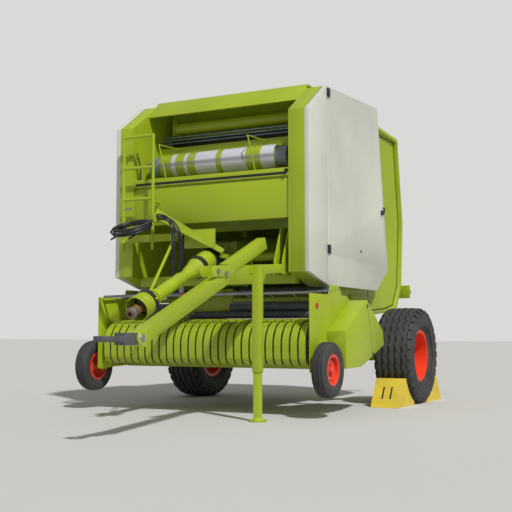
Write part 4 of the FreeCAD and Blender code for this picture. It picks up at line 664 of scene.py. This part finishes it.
# ---- wheels --------------------------------------------------------
def wheel_sizes(node):
    """Centre, radius and half width of a wheel's frame piece."""
    low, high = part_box(node)
    return (low + high) / 2, (high.z - low.z) / 2, (high.x - low.x) / 2


def flipped(profile):
    """The points of a profile on the other side of the middle, in turned order."""
    return [(-x, r) for x, r in reversed(profile)]


def main_tyre(side, sizes):
    node = "main_tyre_" + side
    centre, radius, half = wheel_sizes(node)
    base = radius - sizes.tread_depth
    bead, wall = sizes.bead_radius, radius - sizes.bead_radius
    profile = [(0.69, bead), (0.72, bead + 0.10 * wall), (0.84, bead + 0.22 * wall),
               (0.96, bead + 0.36 * wall), (1.0, bead + 0.50 * wall), (0.985, bead + 0.64 * wall),
               (0.93, bead + 0.78 * wall), (0.86, base - 0.020), (0.74, base - 0.008),
               (0.45, base - 0.002), (0.0, base)]
    profile = [(x * half, r) for x, r in profile]
    inner = [(-0.66 * half, bead), (0.66 * half, bead)]
    shape = bmesh.new()
    add_lathe(shape, profile + flipped(profile[:-1]) + inner, centre, SIDEWAYS, 96)
    for ring, reach in ((0.30, 0.925), (0.58, 0.985)):
        r = bead + ring * wall
        for sign in (-1, 1):
            x = sign * half * reach
            add_lathe(shape, [(x, r - 0.006), (x + sign * 0.004, r), (x, r + 0.006)], centre, SIDEWAYS, 96)
    add_ribs(shape, centre, radius, half, base, sizes)
    stand_in(node, node + "_tread", shape, "tyre", 28.0)


def add_ribs(shape, centre, radius, half, base, sizes):
    """Zigzag ribs; the outer two reach down over the shoulders as blocks."""
    steps = 2 * sizes.waves
    pitch = 1.62 * half / sizes.ribs
    width = pitch * 0.66
    for index in range(sizes.ribs):
        x = (index - (sizes.ribs - 1) / 2) * pitch
        drop = 0.012 * (x / half) ** 2
        top, foot, w = radius - drop, base - 0.014, width / 2
        profile = [(x - w, foot), (x - w * 0.93, top - 0.002), (x - w * 0.8, top), (x + w * 0.8, top),
                   (x + w * 0.93, top - 0.002), (x + w, foot)]
        shifted_ring(shape, profile, centre, steps, sizes.wave_height)
    for sign in (-1, 1):
        x0 = sign * half * 0.80
        profile = [(x0, base - 0.02), (x0, radius - 0.013), (sign * half * 0.90, radius - 0.021),
                   (sign * half * 0.975, radius - 0.052), (sign * half * 0.93, radius - 0.060)]
        shoulder_blocks(shape, profile, centre, steps)


def shifted_ring(shape, profile, centre, steps, reach):
    before = set(shape.verts)
    add_lathe(shape, profile, centre, (1, 0, 0), steps)
    for vert in set(shape.verts) - before:
        angle = math.atan2(vert.co.z - centre.z, vert.co.y - centre.y)
        turn = round(angle / TAU * steps)
        vert.co.x += reach if turn % 2 else -reach


def shoulder_blocks(shape, profile, centre, steps):
    """Lateral bars on a shoulder, one for every wave of the ribs."""
    spread = TAU / steps * 0.62
    for index in range(steps // 2):
        verts = []
        for turn in (-spread, spread):
            angle = TAU * (2 * index) / steps + turn
            up = Vector((0, math.cos(angle), math.sin(angle)))
            verts.append([shape.verts.new(Vector((centre.x + x, centre.y, centre.z)) + up * r)
                          for x, r in profile])
        faces = [shape.faces.new(row) for row in verts]
        bmesh.ops.bridge_loops(shape, edges=[edge for face in faces for edge in face.edges])


def gauge_tyre(side, sizes):
    node = "gauge_tyre_" + side
    centre, radius, half = wheel_sizes(node)
    bead, wall = sizes.gauge_bead_radius, radius - sizes.gauge_bead_radius
    base = radius - sizes.gauge_groove
    left = [(0.70, bead), (0.76, bead + 0.12 * wall), (0.95, bead + 0.34 * wall), (1.0, bead + 0.5 * wall),
            (0.96, bead + 0.7 * wall), (0.86, radius - 0.016), (0.74, radius - 0.007)]
    ribs = [(0.62, radius - 0.004), (0.60, base), (0.50, base), (0.48, radius - 0.002), (0.24, radius),
            (0.22, base + 0.002), (0.12, base + 0.002), (0.10, radius)]
    profile = [(x * half, r) for x, r in left + ribs]
    inner = [(-0.62 * half, bead), (0.62 * half, bead)]
    shape = bmesh.new()
    add_lathe(shape, profile + flipped(profile) + inner, centre, SIDEWAYS, 72)
    stand_in(node, node + "_tread", shape, "tyre", 28.0)


def wheel_rim(node, bead, disc_at, hub_radius, studs, steps):
    """Dished rim with rolled edges, a pressed disc, a hub cap and its nuts."""
    centre, flange, half = wheel_sizes(node)
    out = 1 if centre.x > 0 else -1
    sheet = 0.006 * flange / 0.235 + 0.001
    edge = half * 1.01
    flange *= 1.03
    well = bead - 0.6 * sheet
    shape = bmesh.new()

    def spin(points, turns, start=0.0):
        """Distances in the profile count outwards from the start."""
        add_lathe(shape, [((start + a) * out, max(r, AXIS)) for a, r in points], centre, SIDEWAYS, turns)

    barrel = [(edge, flange - sheet), (edge, flange), (edge - 2 * sheet, flange),
              (edge - 2 * sheet, bead + sheet), (half * 0.5, bead - 0.004),
              (0.3 * half, well - 0.02 * flange)]
    inside = [(-edge, bead - sheet * 0.6), (-0.5 * half, bead - sheet * 1.8)]
    spin(barrel + flipped(barrel[1:]) + inside + flipped(inside), steps)
    spin([(0.0, 0.0), (0.0, hub_radius * 1.5), (0.010, hub_radius * 1.62), (0.022, well * 0.70),
          (0.006, well * 0.86), (-0.012, well * 0.93), (-0.03, well * 0.965), (-0.036, well * 0.95),
          (-0.016, well * 0.88), (-0.002, well * 0.82), (0.012, well * 0.66), (-0.008, hub_radius * 1.5),
          (-0.008, 0.0)], steps, disc_at)
    spin([(-0.004, hub_radius * 0.98), (0.30 * hub_radius, hub_radius * 0.95),
          (0.62 * hub_radius, hub_radius * 0.72), (0.9 * hub_radius, hub_radius * 0.66),
          (hub_radius, hub_radius * 0.55), (hub_radius, 0.0), (-0.004, 0.0)], 36, disc_at)
    if "gauge" in node:
        low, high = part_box("pickup_frame")
        tip = (high.x - centre.x if out > 0 else centre.x - low.x) + 0.004
        spin([(disc_at, hub_radius * 1.1), (tip - 0.008, hub_radius * 1.05), (tip, hub_radius * 0.8),
              (tip, 0.0), (tip - 0.003, 0.0), (tip - 0.003, hub_radius * 0.75),
              (disc_at, hub_radius * 0.98)], 36)
    stand_in(node, node + "_disc", shape, "orange", 30.0)
    nuts = bmesh.new()
    ring = ring_of(centre + Vector((out * disc_at, 0, 0)), SIDEWAYS, hub_radius * 1.27, studs)
    add_bolts(nuts, ring, (out, 0, 0), hub_radius * 0.15, hub_radius * 0.24)
    add_rod(nuts, centre + Vector((out * (disc_at + 0.01), 0, well * 0.9)),
            centre + Vector((out * (disc_at + 0.05), 0, well * 0.9)), 0.004, 8)
    add_piece(node + "_nuts", nuts, "zinc", BODY_OF[node])


class BALER_OT_wheels(Operator):
    """Model ribbed tyres and dished rims on all four wheels"""
    bl_idname = "baler.wheels"
    bl_label = "Wheels"

    def execute(self, context):
        sizes = context.scene.baler_tyre
        for side in ("left", "right"):
            main_tyre(side, sizes)
            gauge_tyre(side, sizes)
            wheel_rim("main_rim_" + side, sizes.bead_radius, 0.0, 0.062, 6, 72)
            wheel_rim("gauge_rim_" + side, sizes.gauge_bead_radius, 0.002, 0.026, 4, 48)
        return {"FINISHED"}


# ---- drive shaft ---------------------------------------------------
SHAFT_FRONT = Vector((0.0, -1.1725, 0.790))
SHAFT_REAR = Vector((0.0, -0.1675, 1.215))
BELL_RADIUS = 0.090
TUBE_RADIUS = 0.050
SHIELD_SHEET = 0.004
CROSS_AT = 0.085
EAR_AT = 0.034
GEAR_FACE_Y = -1.440 + Y_SHIFT
GEAR_HALF_WIDTH = 0.115


def shaft_shields(back, span):
    """Two bells on a telescoping tube, with their bearing rings."""
    bell, tube, sheet, rear = BELL_RADIUS, TUBE_RADIUS, SHIELD_SHEET, span - 0.02
    profile = [(0.0, bell - sheet), (-0.002, bell), (0.006, bell + 0.003), (0.014, bell),
               (0.055, bell - 0.001), (0.06, bell + 0.002), (0.066, bell - 0.001), (0.128, bell),
               (0.146, bell - 0.004), (0.156, tube + 0.014), (0.190, tube + 0.004), (0.23, tube),
               (0.60, tube), (0.608, tube + 0.003), (0.618, tube + 0.003), (0.62, tube - 0.007),
               (0.72, tube - 0.007), (0.745, tube + 0.004), (0.80, tube + 0.010), (0.865, bell - 0.012),
               (0.885, bell - 0.006), (rear, bell - 0.006), (rear, bell - 0.011), (0.89, bell - 0.012),
               (0.86, bell - 0.018), (0.80, tube + 0.005), (0.72, tube - 0.011), (0.616, tube - 0.011),
               (0.60, tube - sheet), (0.22, tube - sheet), (0.155, tube + 0.008), (0.145, bell - 0.012),
               (0.12, bell - sheet)]
    shape = bmesh.new()
    add_lathe(shape, profile, SHAFT_FRONT, back, 56)
    add_piece("shaft_shields", shape, "shield", "chassis", ("pto_guard",), 26.0)
    rings = bmesh.new()
    for start, end, inner, outer in ((0.112, 0.150, bell - 0.008, bell + 0.007),
                                     (0.154, 0.166, tube, tube + 0.013),
                                     (0.872, 0.918, bell - 0.012, bell + 0.001)):
        add_lathe(rings, [(start, inner), (start, outer - 0.003), (start + 0.003, outer),
                          (end - 0.003, outer), (end, outer - 0.003), (end, inner)], SHAFT_FRONT, back, 48)
    add_lathe(rings, [(rear - 0.015, bell - 0.012), (rear - 0.015, bell), (rear + 0.020, bell + 0.001),
                      (rear + 0.060, bell - 0.006), (rear + 0.085, bell - 0.014),
                      (rear + 0.085, bell - 0.020)], SHAFT_FRONT, back, 48)
    add_piece("shield_rings", rings, "black", "chassis")
    clips = bmesh.new()
    for at in ring_of(SHAFT_FRONT + back * 0.136, back, bell + 0.004, 3, 0.5):
        out = (at - SHAFT_FRONT - back * 0.136).normalized()
        add_box(clips, (-0.008, -0.012, -0.001), (0.008, 0.012, 0.005), 0.0015, frame_at(at, back, out))
    add_piece("shield_clips", clips, "shield", "chassis")


def shaft_joint(back, span):
    """Splined yoke that stands out of the front bell, the cross with its cups, and the inner bar."""
    shape = bmesh.new()
    side = Vector(SIDEWAYS)
    up = side.cross(back)
    middle = SHAFT_FRONT + back * CROSS_AT
    hub = [(-0.095, 0.0180), (-0.095, 0.0290), (-0.090, 0.0335), (-0.078, 0.0340), (-0.074, 0.0310),
           (-0.060, 0.0310), (-0.056, 0.0340), (-0.020, 0.0345), (0.000, 0.0370), (0.014, 0.0350),
           (0.018, 0.0200), (-0.012, 0.0180)]
    spline = [(-0.008, AXIS), (-0.008, 0.019), (-0.004, 0.019), (-0.004, AXIS)]
    add_lathe(shape, hub, SHAFT_FRONT, back, 40)
    add_lathe(shape, spline, SHAFT_FRONT, back, 24)
    for way, low, high in ((side, -0.006, CROSS_AT + 0.020), (up, CROSS_AT - 0.020, 0.150)):
        for sign in (-1, 1):
            place = frame_at(SHAFT_FRONT + way * sign * EAR_AT, back, way * sign)
            add_box(shape, (-0.022, low, -0.0052), (0.022, high, 0.0052), 0.0045, place)
            add_rod(shape, middle, middle + way * sign * 0.038, 0.0115, 18)
            add_rod(shape, middle + way * sign * 0.026, middle + way * sign * 0.0415, 0.0165, 22)
    add_lathe(shape, [(0.138, AXIS), (0.138, 0.038), (0.142, 0.0435), (0.156, 0.0435), (0.164, 0.036),
                      (0.172, 0.028), (0.172, AXIS)], SHAFT_FRONT, back, 36)
    add_rod(shape, SHAFT_FRONT + back * 0.16, SHAFT_FRONT + back * (span - 0.06), 0.0225, 20)
    add_lathe(shape, [(span - 0.09, 0.020), (span - 0.09, 0.038), (span - 0.03, 0.039),
                      (span - 0.027, 0.020)], SHAFT_FRONT, back, 32)
    add_piece("shaft_joint", shape, "yoke", "pto_shaft", ("pto_shaft",))
    collar = bmesh.new()
    add_lathe(collar, [(-0.0755, 0.0300), (-0.0755, 0.0372), (-0.0735, 0.0388), (-0.0605, 0.0388),
                       (-0.0585, 0.0372), (-0.0585, 0.0300)], SHAFT_FRONT, back, 40)
    for at in ring_of(SHAFT_FRONT - back * 0.052, back, 0.0172, 6):
        add_box(collar, (-0.0026, -0.040, -0.002), (0.0026, 0.040, 0.002), 0.0006,
                frame_at(at, back, at - SHAFT_FRONT + back * 0.052))
    add_piece("shaft_collar", collar, "blue_steel", "pto_shaft")


def gear_housing():
    """Plate, cover and screws of the bevel gears ahead of the bale chamber."""
    _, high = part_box("gearbox")
    dress_in_parts("gearbox", [("lime", lambda at: at.x > GEAR_HALF_WIDTH + 0.001),
                               ("black", lambda at: at.y < GEAR_FACE_Y - 0.0005)], "worn", 0.004)
    plate = bmesh.new()
    middle = Vector((0.0, GEAR_FACE_Y, 1.243))
    add_lathe(plate, [(-0.012, 0.05), (-0.012, 0.098), (-0.009, 0.101), (0.001, 0.101), (0.001, 0.05)],
              middle, (0, 1, 0), 6)
    add_piece("gear_cover", plate, "worn", "chassis")
    screws = bmesh.new()
    cover = ring_of(middle + Vector((0, -0.012, 0)), (0, 1, 0), 0.088, 6, TAU / 12)
    face = [Vector((x, GEAR_FACE_Y, z)) for x in (-0.098, 0.098) for z in (1.137, 1.35)]
    top = [Vector((x, y + Y_SHIFT, high.z)) for x in (-0.09, 0.0, 0.09) for y in (-1.42, -1.25)]
    for places, way in ((cover, (0, -1, 0)), (face, (0, -1, 0)), (top, (0, 0, 1))):
        add_bolts(screws, places, way, 0.008, 0.008)
    add_piece("gear_screws", screws, "zinc", "chassis")


class BALER_OT_driveline(Operator):
    """Model the drive shaft's shields and joint, and dress the gear housing"""
    bl_idname = "baler.driveline"
    bl_label = "Driveline"

    def execute(self, context):
        back = (SHAFT_REAR - SHAFT_FRONT).normalized()
        span = (SHAFT_REAR - SHAFT_FRONT).length
        shaft_shields(back, span)
        shaft_joint(back, span)
        gear_housing()
        return {"FINISHED"}


# ---- net roll ------------------------------------------------------
class BALER_OT_net(Operator):
    """Model the roll of wrapping net in its compartment"""
    bl_idname = "baler.net"
    bl_label = "Net roll"

    def execute(self, context):
        low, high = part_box("net_roll")
        radius = (high.y - low.y) / 2
        centre = Vector((0, (low.y + high.y) / 2, high.z - radius))
        reach, core = high.x, radius * 0.84
        film = reach - 0.095
        left = [(-film, core - 0.01), (-film, radius - 0.02), (-film + 0.008, radius - 0.006),
                (-film + 0.03, radius)]
        shape = bmesh.new()
        add_lathe(shape, left + flipped(left), centre, SIDEWAYS, 64)
        add_piece("net_film", shape, "film", "chassis", ("net_roll",))
        tube = bmesh.new()
        add_lathe(tube, [(-reach, 0.03), (-reach, core), (reach, core), (reach, 0.03)], centre, SIDEWAYS, 48)
        add_piece("net_core", tube, "core", "chassis")
        return {"FINISHED"}


# ---- small fittings ------------------------------------------------
BEAM_FACE = -0.1935       # front face of the cross beam under the net roll
LEVER_Y = -0.1775
END_PLATE_X = 0.960
DRIVE_GUARD_X = 1.120
CHOCK_SLOPE = Vector((0, 0.531, 0.847))
CHOCK_SLOT_Z = 0.12
KEYHOLE = (0.8745, 1.319)
LATCH = (1.4545, 1.736)
LADDER_RAIL = Vector((-0.760, -0.2775, 1.650))
LADDER_CATCH = Vector((-0.700, -0.2775, 1.650))
REFLECTOR = (-0.2135, 0.830)
TONGUE_NOSE = Vector((0.640, -2.1045, 0.595))
BAR_FACES = (0.592, 0.688)


def add_button(shape, place, direction, radius, height, steps=28):
    """A round button with a rounded rim."""
    add_lathe(shape, [(-0.002, 0.0001), (-0.002, radius), (height * 0.6, radius), (height, radius * 0.86),
                      (height, 0.0001)], place, direction, steps)


def add_links(shape, points, radius):
    """Rods from point to point with round knuckles."""
    for start, end in zip(points, points[1:]):
        add_rod(shape, start, end, radius, 12)
    for point in points:
        bmesh.ops.create_icosphere(shape, subdivisions=2, radius=radius * 1.05,
                                   matrix=Matrix.Translation(point))


def door_fittings():
    for side, sign in (("left", 1), ("right", -1)):
        lock = bmesh.new()
        add_button(lock, (sign * DOOR_FACE, *KEYHOLE), (sign, 0, 0), 0.012, 0.004)
        at = frame_at((sign * DOOR_FACE, *LATCH), (0, 0, 1), (sign, 0, 0))
        add_box(lock, (-0.011, -0.034, -0.002), (0.011, 0.034, 0.006), 0.003, at)
        add_box(lock, (-0.007, -0.012, 0.005), (0.007, 0.028, 0.013), 0.003, at)
        add_piece("door_lock_" + side, lock, "black", "door_" + side)


def net_fittings():
    """A black strip of painted shade for the beam's slot, the knob and brake lever around the net roll, and
    the ladder's catch.
    """
    dark = bmesh.new()
    # Thin black strip on the beam's face: painted shade standing for its slot.
    add_box(dark, (-0.700, BEAM_FACE - 0.0012, 1.847), (0.700, BEAM_FACE + 0.001, 1.868), 0.0005)
    add_button(dark, (0.705, BEAM_FACE, 1.875), (0, -1, 0), 0.015, 0.022)
    corner = Vector((-0.665, LEVER_Y, 2.010))
    add_links(dark, [Vector((-0.700, LEVER_Y, 2.130)), corner, Vector((-0.660, LEVER_Y, 1.890))], 0.006)
    add_links(dark, [corner, Vector((-0.560, LEVER_Y, 2.030))], 0.005)
    add_piece("net_levers_and_slot_shade", dark, "black", "chassis")
    catch = bmesh.new()
    add_links(catch, [LADDER_RAIL, LADDER_CATCH], 0.008)
    add_button(catch, LADDER_CATCH, (1, 0, 0), 0.013, 0.012)
    add_piece("ladder_catch", catch, "zinc", "chassis")


def pickup_fittings():
    """Guard catches and seam, screws along the end plates, and the side reflectors."""
    body = BODY_OF["pickup_drive_guard"]
    top, foot = Vector((DRIVE_GUARD_X, 0.4255, 0.840)), Vector((DRIVE_GUARD_X, 0.5395, 0.456))
    dark = bmesh.new()
    for place in (top, foot):
        add_button(dark, place, (1, 0, 0), 0.012, 0.007)
    seam = frame_at((top + foot) / 2, top - foot, (1, 0, 0))
    reach = (top - foot).length / 2 - 0.012
    add_box(dark, (-0.0015, -reach, -0.001), (0.0015, reach, 0.0006), 0.0002, seam)
    add_piece("guard_catches", dark, "black", body)
    screws, glass = bmesh.new(), bmesh.new()
    for sign in (-1, 1):
        row = [Vector((sign * END_PLATE_X, -0.0575 + 0.0518 * i, 0.937 + 0.0066 * i)) for i in range(6)]
        add_bolts(screws, row, (sign, 0, 0), 0.006, 0.005)
        add_button(glass, (sign * END_PLATE_X, *REFLECTOR), (sign, 0, 0), 0.022, 0.007, 36)
    add_piece("end_plate_screws", screws, "zinc", body)
    add_piece("side_reflectors", glass, "red", body)


def ground_fittings():
    """Painted shade of the slots in the wheel chocks, drawbar bolts and the round nose of the tongue."""
    # Flat black strips on the chocks' slopes: painted shade standing for their slots.
    slot_shades = bmesh.new()
    for side, y in ((1, 0.9578), (-1, 2.0872)):
        slope = Vector((0, CHOCK_SLOPE.y * side, CHOCK_SLOPE.z))
        out = Vector((0, -CHOCK_SLOPE.z * side, CHOCK_SLOPE.y))
        for x in (1.053, 1.123):
            add_box(slot_shades, (-0.007, -0.058, -0.002), (0.007, 0.058, 0.001), 0.0005,
                    frame_at((x, y, CHOCK_SLOT_Z), slope, out))
    add_piece("chock_slot_shades", slot_shades, "black", "chassis")
    bolts, nose = bmesh.new(), bmesh.new()
    for face, sign in zip(BAR_FACES, (-1, 1)):
        add_bolts(bolts, [Vector((face, -1.2245, 1.035)), Vector((face, -1.1155, 1.026))], (sign, 0, 0),
                  0.015, 0.014)
        add_lathe(nose, [(0.0, 0.026), (0.0, 0.0445), (0.003, 0.0445), (0.006, 0.042), (0.006, 0.026)],
                  TONGUE_NOSE + Vector((sign * 0.044, 0, 0)), (sign, 0, 0), 36)
        add_button(bolts, TONGUE_NOSE + Vector((sign * 0.0445, 0, 0)), (sign, 0, 0), 0.0265, 0.009, 36)
    add_lathe(nose, [(-0.0442, 0.0001), (-0.0442, 0.0445), (0.0442, 0.0445), (0.0442, 0.0001)], TONGUE_NOSE,
              (1, 0, 0), 48)
    add_piece("drawbar_bolts", bolts, "zinc", "chassis")
    add_piece("tongue_nose", nose, "lime", "chassis")


class BALER_OT_fittings(Operator):
    """Add locks, levers, catches, screws, reflectors and grips"""
    bl_idname = "baler.fittings"
    bl_label = "Small fittings"

    def execute(self, context):
        door_fittings()
        net_fittings()
        pickup_fittings()
        ground_fittings()
        return {"FINISHED"}


# ---- studio --------------------------------------------------------
CAMERA_AT = (3.81, -6.6775, 0.63)
CAMERA_TURN = 27.48
CAMERA_RISE = 4.63
CAMERA_LENS = 66.26
FLOOR_REACH = 60.0
KEY_FROM = Vector((0.54, -0.38, 0.75))
KEY_SPREAD = 2.5          # degrees
FILL_COLOUR = (1.0, 0.99, 0.97, 1.0)
BACKDROP = (0.70, 0.695, 0.68, 1.0)


class BALER_OT_camera(Operator):
    """Place the camera"""
    bl_idname = "baler.camera"
    bl_label = "Camera"

    def execute(self, context):
        scene = context.scene
        data = bpy.data.cameras.new("camera")
        data.lens = CAMERA_LENS
        data.sensor_width = 36.0
        data.clip_end = 200.0
        camera = new_object("camera", data)
        turn, rise = math.radians(CAMERA_TURN), math.radians(CAMERA_RISE)
        look = Vector((-math.sin(turn) * math.cos(rise), math.cos(turn) * math.cos(rise), math.sin(rise)))
        camera.location = CAMERA_AT
        camera.rotation_mode = "QUATERNION"
        camera.rotation_quaternion = look.to_track_quat("-Z", "Y")
        scene.camera = camera
        return {"FINISHED"}


class BALER_OT_stage(Operator):
    """Set up the floor and the light"""
    bl_idname = "baler.stage"
    bl_label = "Studio"

    def execute(self, context):
        scene = context.scene
        settings = scene.baler_stage
        floor = bmesh.new()
        bmesh.ops.create_grid(floor, x_segments=1, y_segments=1, size=FLOOR_REACH)
        mesh = bpy.data.meshes.new("studio_floor")
        floor.to_mesh(mesh)
        floor.free()
        ground = new_object("studio_floor", mesh)
        ground.location.z = -0.001
        made = Maker("floor_matt", Roughness=0.9)
        rgb = tuple(settings.floor)
        mesh.materials.append(made.finish(Base_Color=made.mix(scaled(rgb, 0.985), rgb, made.noise(0.7, 3.0))))
        key = bpy.data.lights.new("key", "SUN")
        key.energy = settings.sun
        key.angle = math.radians(KEY_SPREAD)
        lamp = new_object("key", key)
        lamp.rotation_mode = "QUATERNION"
        lamp.rotation_quaternion = KEY_FROM.to_track_quat("Z", "Y")
        world = bpy.data.worlds.new("studio")
        world.use_nodes = True
        scene.world = world
        tree = world.node_tree
        back = tree.nodes["Background"]
        back.inputs["Color"].default_value = FILL_COLOUR
        back.inputs["Strength"].default_value = settings.fill
        wall = tree.nodes.new("ShaderNodeBackground")
        wall.inputs["Color"].default_value = BACKDROP
        path = tree.nodes.new("ShaderNodeLightPath")
        blend = tree.nodes.new("ShaderNodeMixShader")
        tree.links.new(path.outputs["Is Camera Ray"], blend.inputs[0])
        tree.links.new(back.outputs[0], blend.inputs[1])
        tree.links.new(wall.outputs[0], blend.inputs[2])
        tree.links.new(blend.outputs[0], tree.nodes["World Output"].inputs[0])
        scene.view_settings.view_transform = "Standard"
        return {"FINISHED"}


# ---- panel and registration ----------------------------------------
STEPS = (BALER_OT_camera, BALER_OT_hoses, BALER_OT_sheets, BALER_OT_wheels, BALER_OT_driveline,
         BALER_OT_net, BALER_OT_fittings, BALER_OT_stage)
SETTINGS = {"baler_paint": PaintSettings, "baler_tyre": TyreSettings, "baler_sheet": SheetSettings,
            "baler_stage": StageSettings}


class BALER_PT_tools(Panel):
    """Lists the baler's pieces and their settings"""
    bl_idname = "BALER_PT_tools"
    bl_label = "Baler"
    bl_space_type = "VIEW_3D"
    bl_region_type = "UI"
    bl_category = "Baler"

    def draw(self, context):
        for name, group in SETTINGS.items():
            box = self.layout.box()
            for key in group.__annotations__:
                box.prop(getattr(context.scene, name), key)
        for step in STEPS:
            self.layout.operator(step.bl_idname)


def register():
    for made in (*SETTINGS.values(), *STEPS, BALER_PT_tools):
        bpy.utils.register_class(made)
    for name, group in SETTINGS.items():
        setattr(bpy.types.Scene, name, PointerProperty(type=group))


def unregister():
    for name in SETTINGS:
        delattr(bpy.types.Scene, name)
    for made in reversed((*SETTINGS.values(), *STEPS, BALER_PT_tools)):
        bpy.utils.unregister_class(made)


def main():
    register()
    for step in STEPS:
        area, action = step.bl_idname.split(".")
        getattr(getattr(bpy.ops, area), action)()


if __name__ == "__main__":
    main()
